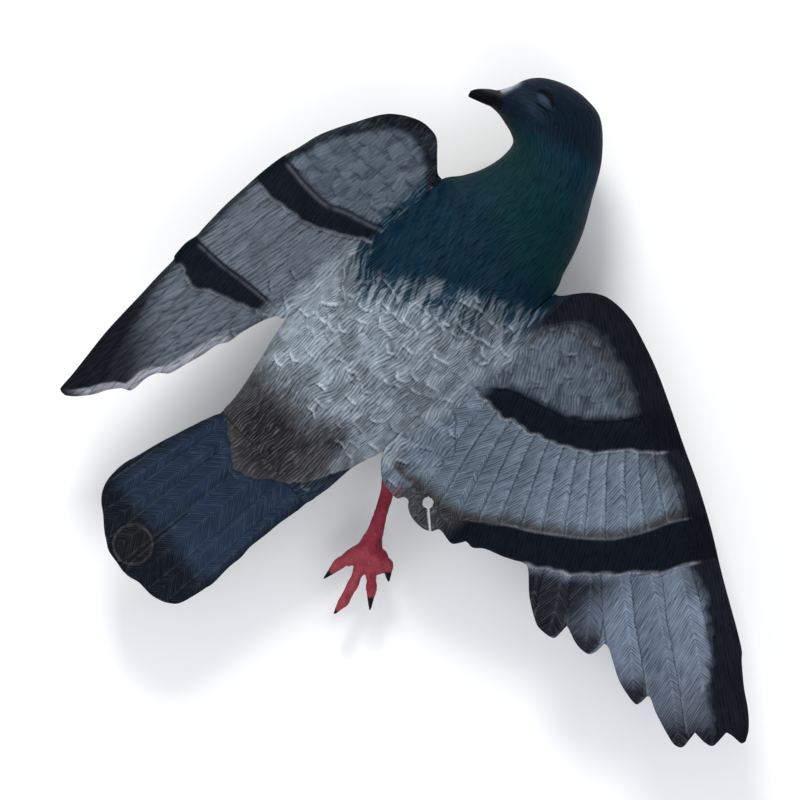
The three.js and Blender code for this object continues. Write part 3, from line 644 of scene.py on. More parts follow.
def surface(name, colour, roughness, metallic=0.0, grain=900.0, depth=0.00005, vary=0.25, streak=False):
    """A moulded or metal surface with uneven tone, grain and wear."""
    s = Finish(name)
    fine, broad = s.noise(grain), s.noise(60.0, 5.0)
    low = tuple(c * (1 - vary) for c in colour)
    high = tuple(min(1.0, c * (1 + vary)) for c in colour)
    tone = s.mix(s.ramp(broad, 0.3, 0.7), low, high)
    tone = s.mix(s.ramp(fine, 0.58, 0.75), tone, (0.75, 0.75, 0.75), "MULTIPLY")
    s.put(tone, s.inputs["Base Color"])
    s.put(metallic, s.inputs["Metallic"])
    s.put(s.add(s.times(broad, 0.25), roughness - 0.12), s.inputs["Roughness"])
    height = fine
    if streak:
        wave = s.make("TexWave", "Fac", Scale=900.0, Distortion=2.0, Vector=s.here())
        height = s.add(fine, s.times(wave, 0.4))
    s.bump(height, 0.5, depth)
    return s.material


# ------------------------------------------------------------------ finishing a sculpted skin
SKIN_KEYS = ("paint", "rim", "shaft", "groove", "cross", "run", "highlight", "cut")


def skin_dict(*arrays):
    """What the paint material reads at each vertex, by name."""
    return dict(zip(SKIN_KEYS, arrays))


def skin_values(relief, paint, highlight):
    """Values of a sculpted skin: the lower it is cut, the darker the painted shade in its grooves."""
    uneven = 0.35 + 0.8 * clouds(relief.x, relief.y, 7.0, 15)
    groove = smooth((0.42 - relief.height) / 0.4) * 0.55 * uneven
    groove = np.clip(groove, 0, 1)
    return skin_dict(paint, relief.rim, relief.shaft, groove, relief.cross, relief.run, highlight, relief.cut)


def rim_paint(paint, rows, columns, inner):
    """Carries the paint of a half shell's two rims over the inside of the shell, row by row."""
    rims = paint.reshape(rows, columns, 3)[:, [0, -1]]
    return np.repeat(rims, [inner // 2 + 1, inner // 2], axis=1).reshape(-1, 3)


def with_under(values, x, y, colour):
    """Adds the values of the unsculpted side, an underside or an inside, after the sculpted ones."""
    x, y = x.ravel(), y.ravel()
    tone = 0.85 + 0.3 * clouds(x, y, 9.0, 77)
    zero = np.zeros(x.size)
    faint = zero + 0.35
    plain = skin_dict((colour * np.ones((x.size, 1))) * tone[:, None], zero, zero, zero, x, y, faint, faint)
    return {key: np.concatenate([data, plain[key]]) for key, data in values.items()}


CROWD = 0.35  # how much closer a sheet's rows lie at its edges
RELIEF_MAX, RELIEF_SINK = 1.7, 0.9  # feathers rise at most this much, from this far below the sheet's top, mm


def sheet_piece(name, lead, trail, top, sculpt, counts, under, material):
    """A feathered sheet: sculpt(relief) returns its paint and how strong its painted highlights are.

    The counts are the rows of the top, the columns of both sides and the rows of the underside.
    """
    rows, columns, under_rows = counts
    x, y, edge = ruled(lead, trail, rows, columns, CROWD)
    relief = Relief(x, y, len(name))
    paint, highlight = sculpt(relief)
    z = top(x, y) + np.clip(relief.height.reshape(x.shape), 0, RELIEF_MAX) - RELIEF_SINK
    z -= 1.0 * (1 - smooth(edge / EDGE))
    bx, by, b_edge = ruled(lead, trail, under_rows, columns, CROWD)
    bz = top(bx, by) - SHEET + 0.2 + 0.8 * (1 - smooth(b_edge / EDGE))
    values = with_under(skin_values(relief, paint, highlight), bx, by, under)
    sheet = slab(name, np.stack([x, y, z], -1), np.stack([bx, by, bz], -1), values)
    sheet.data.materials.append(material)
    return sheet


def between(top, low):
    """1 between a bar's top and low edges, from the distances above each."""
    return smooth((0.4 - top) / 0.8) * smooth((low + 0.3) / 0.8)


def bar_edges(bars, uneven, x, y):
    """Distances above the top and above the uneven low edge of each bar, mm."""
    return [edge for top, low in bars for edge in (over(top, x, y), over(low, x, y) + uneven)]


# ------------------------------------------------------------------ right wing
RIGHT_LEAD = [
    (40, 58), (43, 60), (50, 70), (56, 75), (62, 77.2), (71, 78), (80, 77), (100, 71.6), (120, 63.8),
    (140, 55.3), (160, 47.2), (180, 37.7), (200, 26.8), (218, 17.7), (226, 13.7), (235.5, 8.5), (240, 4.5),
    (250, -3), (260, -9.2), (267.4, -15.3), (271.1, -20.6),
]
RIGHT_TRAIL = [
    (40, -57), (45, -63.5), (52, -68.5), (60, -69.4), (63.4, -69), (65.2, -66), (68, -65.6), (70.4, -68),
    (75.8, -70), (83, -69.6), (87.2, -67.2), (89.5, -63.6), (98, -64), (101, -60.5), (102.6, -57.8),
    (107, -57.4), (111.6, -53.2), (120, -49.3), (125.3, -46.3), (129.5, -43.7), (133.7, -44.2),
    (144, -52.6), (154.7, -58.4), (160, -59.6), (167.4, -57.9), (168, -54.2), (166.3, -50), (168.4, -48.7),
    (175, -50.6), (180, -51.2), (185.3, -50), (187, -46.3), (186.6, -41), (190, -40.5), (197, -43.7),
    (207, -47.9), (219, -49.4), (221, -46.8), (221.6, -41.6), (230.5, -44.7), (245, -48.2), (250, -47.9),
    (252, -45.3), (250.6, -40), (249.6, -37), (256.8, -36.5), (261, -35.3), (262, -32.6), (260.3, -29),
    (260, -25.8), (264, -24), (270, -23.2), (271.1, -21.6),
]
R_BAR1_TOP = [
    (40, -4), (52, 2), (62, 10.5), (72.6, 14.7), (88.4, 21), (99, 29.5), (107.4, 39), (112.6, 47.4),
    (120, 60),
]
R_BAR1_LOW = [
    (40, -6), (50, -3.4), (60, -3.2), (68.4, -2.6), (74, 0.2), (80, 0.8), (87.4, 4.7), (93.7, 6.3),
    (100, 11), (109.5, 16.8), (114.7, 23.2), (120, 30.5), (125.3, 34.7), (132, 42), (140, 52),
]
R_BAR2_TOP = [
    (60, -60), (86, -57), (96, -50), (105, -42), (110.5, -36.8), (120, -30.5), (131.6, -21), (140, -13.7),
    (150, -3.2), (154.7, 4.2), (160, 14.7), (164.2, 25.3), (172, 38), (180, 50),
]
R_BAR2_LOW = [
    (80, -75), (110, -58), (131.6, -42), (140, -37), (150, -28.4), (160, -17.9), (165.3, -11.6),
    (171.6, -4.2), (176.8, 1), (180.5, 8.4), (183.2, 13.7), (189, 23.2), (194, 32),
]
# Shaft roots and tips of the long flight feathers, from the innermost to the leading one.
R_FLIGHT = [
    [(131, -36), (149, -57.5), 7, 9],
    [(143, -30), (165, -60), 7, 10],
    [(154, -21), (184, -52.5), 7, 11],
    [(165, -11), (220, -50.5), 7, 12],
    [(176, 0), (252, -48.5), 7, 13],
    [(183, 13), (262, -36), 7, 12],
    [(187, 24), (272, -22), 9, 6.5],
]


# Depth of the dark leading band, mm, at places along the wing.
LEAD_BAND = (
    [40, 50, 62, 90, 112, 125, 150, 190, 203, 220, 235, 250, 259, 271],
    [10, 17, 19, 15, 16, 15, 10, 14, 11, 14, 17, 18, 21, 26],
)


def right_top(x, y):
    """Height of the right wing's top: arched over its depth, bent down to the tip, swept up at the root."""
    s = (x - 48) / 222  # 0 at the root, 1 at the tip
    middle = 8 - 40 * s
    z = 50 + 14 * s - 24 * s * s - 4 * smooth(s / 0.25) * ((y - middle) / 50) ** 2
    return z + 3.4 * np.exp(-(x - 40.5) / 4.5) * smooth((y + 64) / 12) * smooth((60 - y) / 10)


def right_marks(x, y):
    """Distance in from the leading edge, then the distances above the edges of both bars, mm."""
    uneven = 0.6 * (1.3 * np.sin(x * 0.62) * np.cos(x * 0.23) + 1.6 * (noise(x / 3.0, y / 9.0, 12) - 0.5))
    bars = (R_BAR1_TOP, R_BAR1_LOW), (R_BAR2_TOP, R_BAR2_LOW)
    return [-over(RIGHT_LEAD, x, y), *bar_edges(bars, uneven, x, y)]


def sculpt_right(r):
    """Lays secondaries, flight feathers and coverts from the rear edge forward, then the painted bars."""
    r.row(
        [(50, -70), (60, -72), (75, -71), (90, -66), (105, -59), (120, -51), (133, -47)],
        [(46, -38), (58, -38), (72, -40), (86, -42), (98, -40), (110, -34), (120, -28)],
        9, 7, 7, vee=0.3,
    )
    for root, tip, left, right in R_FLIGHT:
        r.lay(root, tip, left, right, bend=1.5, lift=0.7, thick=0.5, crown=0.5, ragged=0.9)
    r.row(
        [(44, -58), (58, -61), (72, -61), (88, -59), (100, -54), (111, -46), (125, -35), (146, -18), (161, 1),
         (170, 22), (178, 36)],
        [(42, -6), (50, -2), (60, 0), (72, 3), (84, 8), (94, 13), (105, 21), (115, 31), (124, 41), (132, 48),
         (140, 52)],
        17, 5.6, 7.5, lift=0.35, thick=0.5, crown=0.6,
    )
    coverts = over(R_BAR1_TOP, r.x, r.y) > -3
    r.comb(0.55, coverts)
    r.cut[coverts] = 0.75
    shoulder = 51 + 13 * smooth((-18 - r.y) / 16)
    r.comb(0.15, r.x < shoulder + 8 * (clouds(r.x, r.y, 8, 14) - 0.5))
    r.tufts((46, 134), (0, 72), (9, 7), 4.2, 15, lean=0.5, step=0.45, share=0.5,
            keep=lambda x, y: y > np.interp(x, *np.array(R_BAR1_TOP).T) - 3)
    r.cut *= 0.75
    mantle(r)
    x, y = r.x, r.y
    root = smooth((x - 47) / 8)
    marks = lead, bar1_top, bar1_low, bar2_top, bar2_low = right_marks(x, y)
    free = smooth((lead - 5) / 8)
    r.band(between(bar2_top, bar2_low) * smooth((x - 84) / 10), -1.05, 1.0)
    r.ridge(bar2_low, smooth((x - 126) / 8) * free, 0.6)
    r.ridge(bar2_top + 0.5, smooth((x - 96) / 10) * free, 0.3, 0.5)
    r.band(smooth((-bar1_top + 1.0) / 4) * smooth((bar1_low + 0.3) / 0.8) * root, -1.15, 1.05)
    r.ridge(bar1_low, root * free, 0.75, 0.7)
    r.band(soft(np.interp(x, *LEAD_BAND) - lead, 6, x, y, 10, 4) * smooth((x - 44) / 6), -0.55, 0.8)
    return paint_right(r, marks)


def paint_right(r, marks):
    x, y = r.x, r.y
    lead, bar1_top, bar1_low, bar2_top, bar2_low = marks
    paint = fill(x.size, MIDDLE)
    paint *= (1.0 + 0.25 * smooth((x - 90) / 60))[:, None]
    spray(paint, COVERT * 0.92, soft(bar1_top, 6, x, y, 1))
    spray(paint, FLIGHT, soft(-bar2_low, 1, x, y, 2, 0.4))
    spray(paint, FLIGHT_SHADE, 0.6 * soft(-bar2_low, 4, x, y, 3) * smooth((x - 205) / 45))
    spray(paint, FLIGHT_TIP, 0.97 * smooth(r.tip * 1.7 - 0.06) * soft(-bar2_low - 3, 6, x, y, 4))
    spray(paint, FLIGHT_TIP, 0.95 * smooth((182 - x) / 24) * soft(-bar2_low - 2, 8, x, y, 4))
    spray(paint, BROWN, 0.85 * soft(5 - bar2_top, 7, x, y, 5, 3) * soft(bar2_top, 2, x, y, 6))
    low_corner = smooth((-44 - y + 0.25 * (x - 75)) / 18) * smooth((106 - x) / 12) * smooth((x - 54) / 12)
    spray(paint, BROWN * 0.8, 0.85 * low_corner)
    root = smooth((x - 43 - 6 * (clouds(x, y, 7, 9) - 0.5)) / 9)[:, None]
    paint = paint * root + body_colour(x, y)[0] * (1 - root)
    bar2 = soft(-bar2_top + 0.4, 1.4, x, y, 6, 0.8) * smooth(bar2_low / 0.9 + 0.5) * smooth((x - 84) / 14)
    spray(paint, BAR, 0.98 * bar2)
    bar1 = soft(-bar1_top + 1.5, 5.5, x, y, 8, 2.5) * smooth(bar1_low / 0.9 + 0.5)
    spray(paint, BAR, 0.98 * bar1 * smooth((x - 47) / 10))
    depth = np.interp(x, *LEAD_BAND)
    dark_lead = soft(depth + 1 - lead, 8, x, y, 10, 5)
    spray(paint, EDGE_DARK, 0.97 * dark_lead * smooth((x - 41) / 6))
    halo = 0.6 * soft(depth + 7 - lead, 8, x, y, 11, 5) * (1 - dark_lead)
    spray(paint, BROWN * 0.7, halo * smooth((x - 44) / 6) * smooth((205 - x) / 10) * (1 - bar1) * (1 - bar2))
    spray(paint, EDGE_DARK, 0.7 * smooth((x - 262) / 8))
    spray(paint, LEG_RED, 0.25 * smooth(1.5 - np.hypot(x - 60, y + 68) / 4))
    free = smooth((lead - 7) / 7)
    line = bell(bar2_top - 0.1, 0.5) * smooth((x - 100) / 12) * 0.5
    line += bell(bar1_low + 0.3, 0.75) * smooth((x - 47) / 6)
    line += bell(bar2_low + 0.3, 0.8) * smooth((x - 126) / 6) * 0.9
    spray(paint, RIM_PALE, line * free * (0.45 + 0.8 * clouds(x, y, 4, 21)))
    # Tone of each feather and tuft, with the painted shade across each feather that lay() gives it.
    paint *= (0.7 + 0.6 * r.tone)[:, None]
    highlight = (0.62 + 0.38 * smooth((60 - x) / 14)) * (1 - 0.96 * np.clip(bar1 + bar2, 0, 1))
    return paint, np.clip(highlight * (1 - 0.9 * dark_lead), 0.02, 1)


def eyelet_cutter():
    """A round hole with a slit that runs from it out past the wing's edge."""
    x, y, r = 75.2, -59.0, 2.55
    ex, ey = 89.0, -69.6  # where the slit ends
    half = 0.38  # half width of the slit
    a = math.atan2(ey - y, ex - x)
    gap = math.asin(half / r)
    arc = np.linspace(a + gap, a + 2 * math.pi - gap, 48)
    outline = [(x + r * math.cos(t), y + r * math.sin(t)) for t in arc]
    side = (-math.sin(a) * half, math.cos(a) * half)
    outline += [(ex - side[0], ey - side[1]), (ex + side[0], ey + side[1])]
    return prism("eyelet_cutter", outline, 30, 70)


def make_right_wing(material):
    outlines = RIGHT_LEAD, RIGHT_TRAIL
    wing = sheet_piece("right_wing_skin", *outlines, right_top, sculpt_right, (190, 470, 26), UNDER, material)
    cut(wing, eyelet_cutter())
    heal(wing.data)
    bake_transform(wing, "body", "right_wing", start=(0.038, 0.03, 0.046), end=(0.050, 0.03, 0.046))
    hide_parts("right_wing")


# ------------------------------------------------------------------ left wing
LEFT_LEAD = [
    (-40.5, 54.5), (-44, 55), (-50, 60), (-57, 66), (-63, 67), (-70, 65.5), (-78, 60.5), (-84, 54),
    (-90, 42), (-95.3, 30), (-98, 22), (-100, 11), (-102, 2), (-103, -10), (-103.1, -25), (-103, -35),
    (-102, -48.7), (-101.3, -55.3), (-102.2, -62), (-101.3, -70), (-100, -72.5), (-99.3, -83.3),
    (-98, -96.7), (-97, -110), (-95.6, -123.3), (-93.3, -136.7), (-91.3, -148.7), (-90.3, -156.7),
    (-88.6, -158),
]
LEFT_TRAIL = [
    (-39.5, 52.5), (-39.5, 30), (-39.5, 0), (-39.5, -25), (-41, -49), (-44.7, -52.7), (-46.7, -56.7),
    (-48.7, -63.3), (-50.4, -71.3), (-51.3, -79.3), (-54, -84.7), (-55.3, -94), (-57.3, -103),
    (-59.3, -111.6), (-63.3, -116), (-65.3, -122), (-65.7, -131.3), (-70, -134.7), (-74, -140.7),
    (-76.7, -146.7), (-81.3, -153.3), (-85.3, -157.3), (-87.6, -158),
]
L_BAR1_TOP = [
    (-104, 3.3), (-96.7, 3.3), (-83, 2.7), (-70, 4), (-60.7, 8.7), (-50, 12.7), (-42, 16), (-38, 17),
]
L_BAR1_LOW = [
    (-104, -12.5), (-96.7, -15.3), (-84.7, -14), (-70, -10.7), (-59, -5.3), (-52.7, -0.7), (-46, 4),
    (-40.7, 7), (-38, 8),
]
L_BAR2_TOP = [(-104, -57), (-83.3, -55.3), (-70, -52.7), (-56.7, -50.7), (-48, -50)]
L_BAR2_LOW = [
    (-104, -71.6), (-92.7, -71.6), (-83.3, -74), (-76.7, -69.3), (-67.3, -64.7), (-56.7, -60), (-46, -54),
]
L_FLIGHT = [
    [(-53, -58), (-52.3, -81), 4.5, 4.5],
    [(-57, -60), (-56, -97), 5, 5],
    [(-63, -62), (-60.5, -114), 5, 5],
    [(-69, -64), (-66.3, -131.5), 5, 5.5],
    [(-76, -66), (-72, -139), 5.5, 5.5],
    [(-83, -68), (-77.5, -149), 5.5, 5.5],
    [(-90, -68), (-83, -156), 5.5, 5.5],
    [(-97, -66), (-88.5, -160), 5, 6],
]


def left_top(x, y):
    """Height of the left wing's top: it rises outwards, less so towards the tip, and its edge bends down."""
    e = (-44 - x) / 59  # 0 at the root, 1 at the outer edge
    back = smooth((-40 - y) / 118)  # 1 at the tip
    z = 50 + 10 * e * (1 - 0.35 * back) - 20 * np.maximum(0, e - 0.55) ** 2
    return z + 3.4 * np.exp((x + 40) / 4.5) * smooth((y + 56) / 12) * smooth((56 - y) / 10)


def left_marks(x, y):
    """Distances above the edges of both bars, mm."""
    uneven = 0.3 * np.sin(x * 0.55) * np.cos(x * 0.21) + 0.9 * (noise(x / 3.0, y / 9.0, 13) - 0.5)
    return bar_edges(((L_BAR1_TOP, L_BAR1_LOW), (L_BAR2_TOP, L_BAR2_LOW)), uneven, x, y)


def sculpt_left(r):
    """Lays flight feathers and coverts from the tip forward, then the painted bars."""
    for root, tip, left, right in L_FLIGHT:
        r.lay(root, tip, left, right, bend=-1.0, lift=0.5, thick=0.35, crown=0.35, ragged=1.0, vee=0.2)
    r.row(
        [(-101, -62), (-92, -62), (-83, -61), (-70, -58.5), (-57, -56.5), (-47, -55), (-41, -50)],
        [(-99, -12), (-90, -12), (-82, -11), (-70, -8), (-58, -2), (-49, 4), (-42, 8)],
        11, 5.0, 5.0, bend=0.8, lift=0.35, thick=0.3, crown=0.3, vee=0.12, ragged=1.2,
    )
    coverts = over(L_BAR1_TOP, r.x, r.y) > -3
    r.comb(-0.1, coverts)
    r.cut[coverts] = 0.25
    r.cut *= 0.7
    r.comb(0.0, r.x > -50 - 8 * (clouds(r.x, r.y, 8, 14) - 0.5))
    r.tufts((-98, -44), (-46, -8), (9, 8), 3.6, 20, step=0.2, share=0.1,
            keep=lambda x, y: y < np.interp(x, *np.array(L_BAR1_LOW).T) - 8)
    r.tufts((-99, -42), (8, 60), (8, 6.5), 3.8, 13, lean=-0.1, step=0.6, share=0.04,
            keep=lambda x, y: y > np.interp(x, *np.array(L_BAR1_TOP).T) - 2)
    mantle(r)
    x, y = r.x, r.y
    marks = bar1_top, bar1_low, bar2_top, bar2_low = left_marks(x, y)
    r.band(between(bar2_top, bar2_low) * smooth((-49 - x) / 4), -1.45, 1.0)
    r.ridge(bar2_low, smooth((-50 - x) / 4), 0.6)
    r.band(between(bar1_top, bar1_low) * smooth((-40 - x) / 4), -1.3, 1.0)
    r.ridge(bar1_low, smooth((-40 - x) / 4), 0.7)
    r.ridge(bar1_top + 1.4, smooth((-42 - x) / 4), 0.2, 0.6)
    return paint_left(r, marks)


# Height of the dark shoulder's lower edge along x, and depth of the dark outer edge along y, mm.
L_SHOULDER = [-95, -80, -63, -50, -42], [40, 51, 57, 52, 45]
L_EDGE_BAND = [-160, -110, -75, -40, 0, 30, 45], [20, 7, 3.5, 3, 3.5, 5, 9]


def paint_left(r, marks):
    x, y = r.x, r.y
    bar1_top, bar1_low, bar2_top, bar2_low = marks
    lead = along_y(LEFT_LEAD[:4:-1], x, y)
    trail = -along_y(LEFT_TRAIL[:3:-1], x, y)
    paint = fill(x.size, LEFT_MIDDLE)
    spray(paint, COVERT, soft(bar1_top, 6, x, y, 31))
    spray(paint, LEFT_FLIGHT, soft(-bar2_low, 3, x, y, 32))
    tip = smooth((-96 - y - 0.9 * (x + 75)) / 34)
    spray(paint, FLIGHT_TIP, 0.93 * tip)
    root = smooth((-42.5 - x - 6 * (clouds(x, y, 7, 39) - 0.5)) / 8)[:, None]
    paint = paint * root + body_colour(x, y)[0] * (1 - root)
    spray(paint, EDGE_DARK, 0.9 * soft(y - np.interp(x, *L_SHOULDER), 6, x, y, 33, 4))
    spray(paint, EDGE_DARK, 0.85 * soft(np.interp(y, *L_EDGE_BAND) - lead, 4, x, y, 34, 3))
    bar2 = soft(-bar2_top + 0.6, 1.8, x, y, 35, 0.4) * soft(bar2_low + 0.4, 1.6, x, y, 36, 0.5)
    bar2 *= smooth((-50 - x) / 5)
    bar1 = soft(-bar1_top + 0.6, 2.2, x, y, 37, 0.4) * soft(bar1_low + 0.4, 1.6, x, y, 38, 0.5)
    bar1 *= smooth((-40 - x) / 4)
    spray(paint, BAR, 0.96 * bar2)
    spray(paint, BAR, 0.96 * bar1)
    lines = bell(bar1_low + 0.2, 0.7) + 0.8 * bell(bar2_low + 0.2, 0.7)
    lines += 0.3 * bell(bar1_top + 1.6, 0.9) + 0.25 * bell(bar2_top + 1.4, 0.8)
    spray(paint, RIM_PALE, 0.75 * lines * smooth((clouds(x, y, 6, 41) - 0.1) / 0.3) * smooth((lead - 3) / 3))
    bare = smooth((5.2 - trail) / 1.6) * smooth((-74 - y) / 8) * (0.8 + 0.4 * clouds(x, y, 4, 42))
    spray(paint, TRAIL_PALE, 0.85 * bare * smooth((y + 158) / 12))
    # Tone of each feather and tuft, with the painted shade across each feather that lay() gives it.
    paint *= (0.76 + 0.48 * r.tone)[:, None]
    plain = 0.4 + 0.6 * smooth((x + 52) / 10)
    highlight = plain * (1 - 0.96 * np.clip(bar1 + bar2, 0, 1)) * (1 - 0.8 * tip)
    return paint, np.clip(highlight, 0.02, 1)


def make_left_wing(material):
    outlines = LEFT_TRAIL, LEFT_LEAD
    wing = sheet_piece("left_wing_skin", *outlines, left_top, sculpt_left, (170, 470, 24), UNDER, material)
    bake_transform(wing, "body", "left_wing", start=(-0.038, 0.03, 0.046), end=(-0.050, 0.03, 0.046))
    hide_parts("left_wing")


# ------------------------------------------------------------------ tail
TAIL_LEFT = [
    (-24, -86), (-28, -99), (-27.6, -105.8), (-29, -109.5), (-31.6, -118), (-34.7, -129.5), (-37.4, -140),
    (-39.5, -150.5), (-41.5, -160), (-41, -170), (-38.5, -176.2), (-34.7, -180.5), (-29.5, -184),
    (-23, -189), (-18, -192), (-13.7, -194.2), (-7.4, -195), (-2.5, -195.7),
]
TAIL_RIGHT = [
    (31, -86), (35.5, -98), (34.7, -105), (34.5, -110.5), (33.2, -121), (32.9, -129.5), (32.2, -140),
    (33, -147), (32.6, -155), (33.3, -166), (32.6, -170.5), (31.6, -176.8), (29.5, -185.3), (25.8, -189.5),
    (21, -192), (15.8, -193.3), (8.4, -193.5), (3, -195.2), (-0.5, -195.7),
]
TAIL_LINES = [
    [(-24, -92), (-36, -186), 8, 6],
    [(29, -92), (29, -188), 6, 8],
    [(-14, -92), (-25, -192), 8, 7],
    [(19, -92), (18, -195), 7, 8],
    [(-5, -92), (-13, -197), 8, 7],
    [(9, -92), (5, -198), 9, 8],
]
RING_X, RING_Y, RING_R = -8.0, -183.0, 9.8  # the moulded ring near the tail's tip


def tail_top(x, y):
    """Height of the tail's top: it falls to its end and its sides, and lifts under the rump's edge."""
    middle = 3.5 - 8 * smooth((-110 - y) / 80)
    side = ((x - middle) / 36) ** 2
    z = 46 - 4 * smooth((-100 - y) / 95) - 3 * side
    return z + 1.5 * smooth((y + 122) / 15) * np.maximum(0, 1 - side)


def sculpt_tail(r):
    """Lays the tail feathers and the rump over them, and raises the moulded ring."""
    for root, tip, left, right in TAIL_LINES:
        r.lay(root, tip, left, right, lift=0.45, thick=0.4, crown=0.4, ragged=0.5)
    r.cut *= 0.5
    r.comb(0.0, rump_reach(r.x, r.y) > 0)
    mantle(r)
    ring = np.hypot(r.x - RING_X, r.y - RING_Y)
    circle_line = bell(ring - RING_R, 0.7)
    # The ring's raised line, with painted shade in the groove just outside it and a painted highlight along
    # the line.
    r.height += 0.9 * circle_line - 0.5 * bell(ring - RING_R - 1.5, 0.6)
    r.rim += 1.6 * circle_line
    r.height = np.where(ring < RING_R - 0.8, 0.45 * r.height + 0.35, r.height)
    x, y = r.x, r.y
    paint = fill(x.size, TAIL_MID)
    spray(paint, TAIL_BLUE * 1.15, 0.8 * clouds(x, y, 16, 51))
    spray(paint, TAIL_DARK * 0.75, 0.85 * soft(-168 - y, 12, x, y, 52, 6))
    side = np.minimum(x - np.interp(y, [-176, -150, -110], [-40, -39.5, -28.5]), 33 - x)
    spray(paint, TAIL_DARK * 0.7, 0.6 * smooth((6 - side) / 6))
    rump = smooth(rump_reach(x, y) / 1.5)[:, None]
    paint = paint * (1 - rump) + body_colour(x, y)[0] * rump
    seam = 0.5 * bell(x + 2 - 0.06 * (y + 118), 1.2)
    spray(paint, RUMP_DARK * 0.6, seam * smooth((-116 - y) / 8))
    spray(paint, RING_DARK, 0.8 * (ring < RING_R - 0.3))
    # Tone of each feather and tuft, with the painted shade across each tail feather that lay() gives it.
    paint *= (0.88 + 0.24 * r.tone)[:, None]
    return paint, 0.28 + 0.5 * smooth(rump_reach(x, y) / 4)


def make_tail(material):
    outlines = TAIL_RIGHT, TAIL_LEFT
    tail = sheet_piece("tail_skin", *outlines, tail_top, sculpt_tail, (130, 250, 22), UNDER * 0.6, material)
    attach(tail, "body")
    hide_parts("tail_fan")


# ------------------------------------------------------------------ body, neck and head
# Sections from the rump to the bill: left x, y, right x, y, rim, top and bottom heights, fall of the back.
SECTIONS = [
    (-27.5, -105, 34.5, -105, 45, 47.3, 36, 0.5), (-29.3, -92, 36.5, -92, 45.5, 53.8, 29.5, 0.6),
    (-33.8, -75, 37, -75, 47, 63.5, 14.5, 0.65), (-38.5, -59, 40.5, -61, 48.5, 68.5, -3.5, 0.75),
    (-42, -40, 43.2, -44, 49, 72, -5, 0.95), (-42.6, -5, 43.5, -5, 49.5, 74.6, -5, 1.05),
    (-42, 30, 43, 30, 49.5, 74, -5, 1.0), (-40.8, 53, 39.8, 57.5, 48.5, 71, 5, 0.8),
    (-35, 63.5, 35.6, 68, 46, 69, 13, 0.6), (-30.7, 73, 31.6, 79, 44, 68, 17, 0.52),
    (-28.7, 84, 26, 90.5, 43, 66, 19, 0.5), (-30, 93, 17.6, 103.5, 42, 63.5, 20.5, 0.5),
    (-34.8, 96, 6.3, 120.3, 42, 61.5, 22.5, 0.5), (-40.5, 97.1, -9, 133.6, 42, 60, 24, 0.5),
    (-44.3, 97.7, -22, 135.4, 42, 59.6, 24.4, 0.5), (-47, 97.8, -33.5, 132.8, 42, 58.6, 25.6, 0.5),
    (-49.3, 97.6, -43.5, 127, 42, 56, 28.3, 0.5), (-51.2, 97.3, -48.9, 120.4, 42, 52.6, 31.4, 0.5),
    (-52.2, 96.9, -51.7, 112, 42, 48.6, 35.4, 0.5), (-53.3, 96.3, -53.3, 106.7, 42, 46.8, 37.2, 0.5),
    (-57, 94.6, -58, 102.8, 42, 45.3, 38.9, 0.5), (-60.4, 93.1, -61.5, 99.2, 42, 44.2, 39.8, 0.5),
    (-62.2, 92.4, -63.1, 96.8, 42, 43.5, 40.5, 0.5), (-63.1, 92.9, -63.7, 95.0, 42, 42.8, 41.2, 0.5),
]
LIP = 2.2  # how far the parting line lies below the rim
PART_GAP = 0.25


def sections(count):
    """Evenly spaced sections along the body, as columns of an array."""
    table = np.array(SECTIONS)
    middles = np.column_stack([(table[:, 0] + table[:, 2]) / 2, (table[:, 1] + table[:, 3]) / 2])
    return spline(np.hstack([middles, table]), count)[:, 2:]


def across(sec, u):
    """x and y of points across the sections, from u = -1 on the left rim to 1 on the right."""
    x = sec[:, 0:1] * (1 - u) / 2 + sec[:, 2:3] * (1 + u) / 2
    y = sec[:, 1:2] * (1 - u) / 2 + sec[:, 3:4] * (1 + u) / 2
    return x, y


def grid_normals(p):
    du = np.gradient(p, axis=1)
    dv = np.gradient(p, axis=0)
    normal = np.cross(du, dv)
    return normal / np.maximum(1e-9, np.linalg.norm(normal, axis=-1, keepdims=True))


def flow_strokes(relief, sec, u):
    """Makes the fine strokes run along the body and round the bend of the neck."""
    centre = (sec[:, 0:2] + sec[:, 2:4]) / 2
    run = np.concatenate([[0], np.cumsum(np.hypot(*np.diff(centre, axis=0).T))])
    half = np.hypot(sec[:, 2] - sec[:, 0], sec[:, 3] - sec[:, 1]) / 2
    run = np.broadcast_to(run[:, None], (sec.shape[0], u.shape[1])).ravel()
    cross = (half[:, None] * np.arcsin(u)).ravel() + 4.0 * noise(relief.x / 11, relief.y / 11, 91)
    cross += 1.3 * noise(relief.x / 5, relief.y / 5, 94)
    relief.cross, relief.run = cross, run
    deep = noise(cross / 1.5, run / 6.0, 92) * 0.6 + noise(cross / 0.8, run / 3.5, 93) * 0.4
    relief.height += 0.9 + 0.6 * (deep - 0.5)


EYE_X, EYE_Y = -35.2, 121.6
HEAD_MIDDLE, EYE_HEIGHT = 42, 13.4  # height of the head's middle, and from it up or down to an eye


def eye_marks(x, y):
    """The dark line of the upper lid, the pale lower lid and the dark crease below it."""
    bend = 122.2 - 0.085 * (x - EYE_X) ** 2
    ends = smooth((6.3 - np.abs(x + 35.1)) / 1.2)
    arc = bell(y - bend, 1.15) * ends
    lens = smooth(1.35 - np.hypot((x + 34.5) / 5.2, (y - 118.2) / 2.3)) * (1 - arc)
    crease = bell(y - 115.6 - 0.25 * (x + 32.5), 0.55) * smooth((4.4 - np.abs(x + 32.5)) / 1.5)
    return arc, lens, crease


def on_bill(x, y):
    """1 on the bill, 0 on the head."""
    return smooth((-52.4 - x - 0.9 * (y - 107.8)) / 1.8) * smooth((-39 - x) / 3) * smooth((y - 85) / 4)


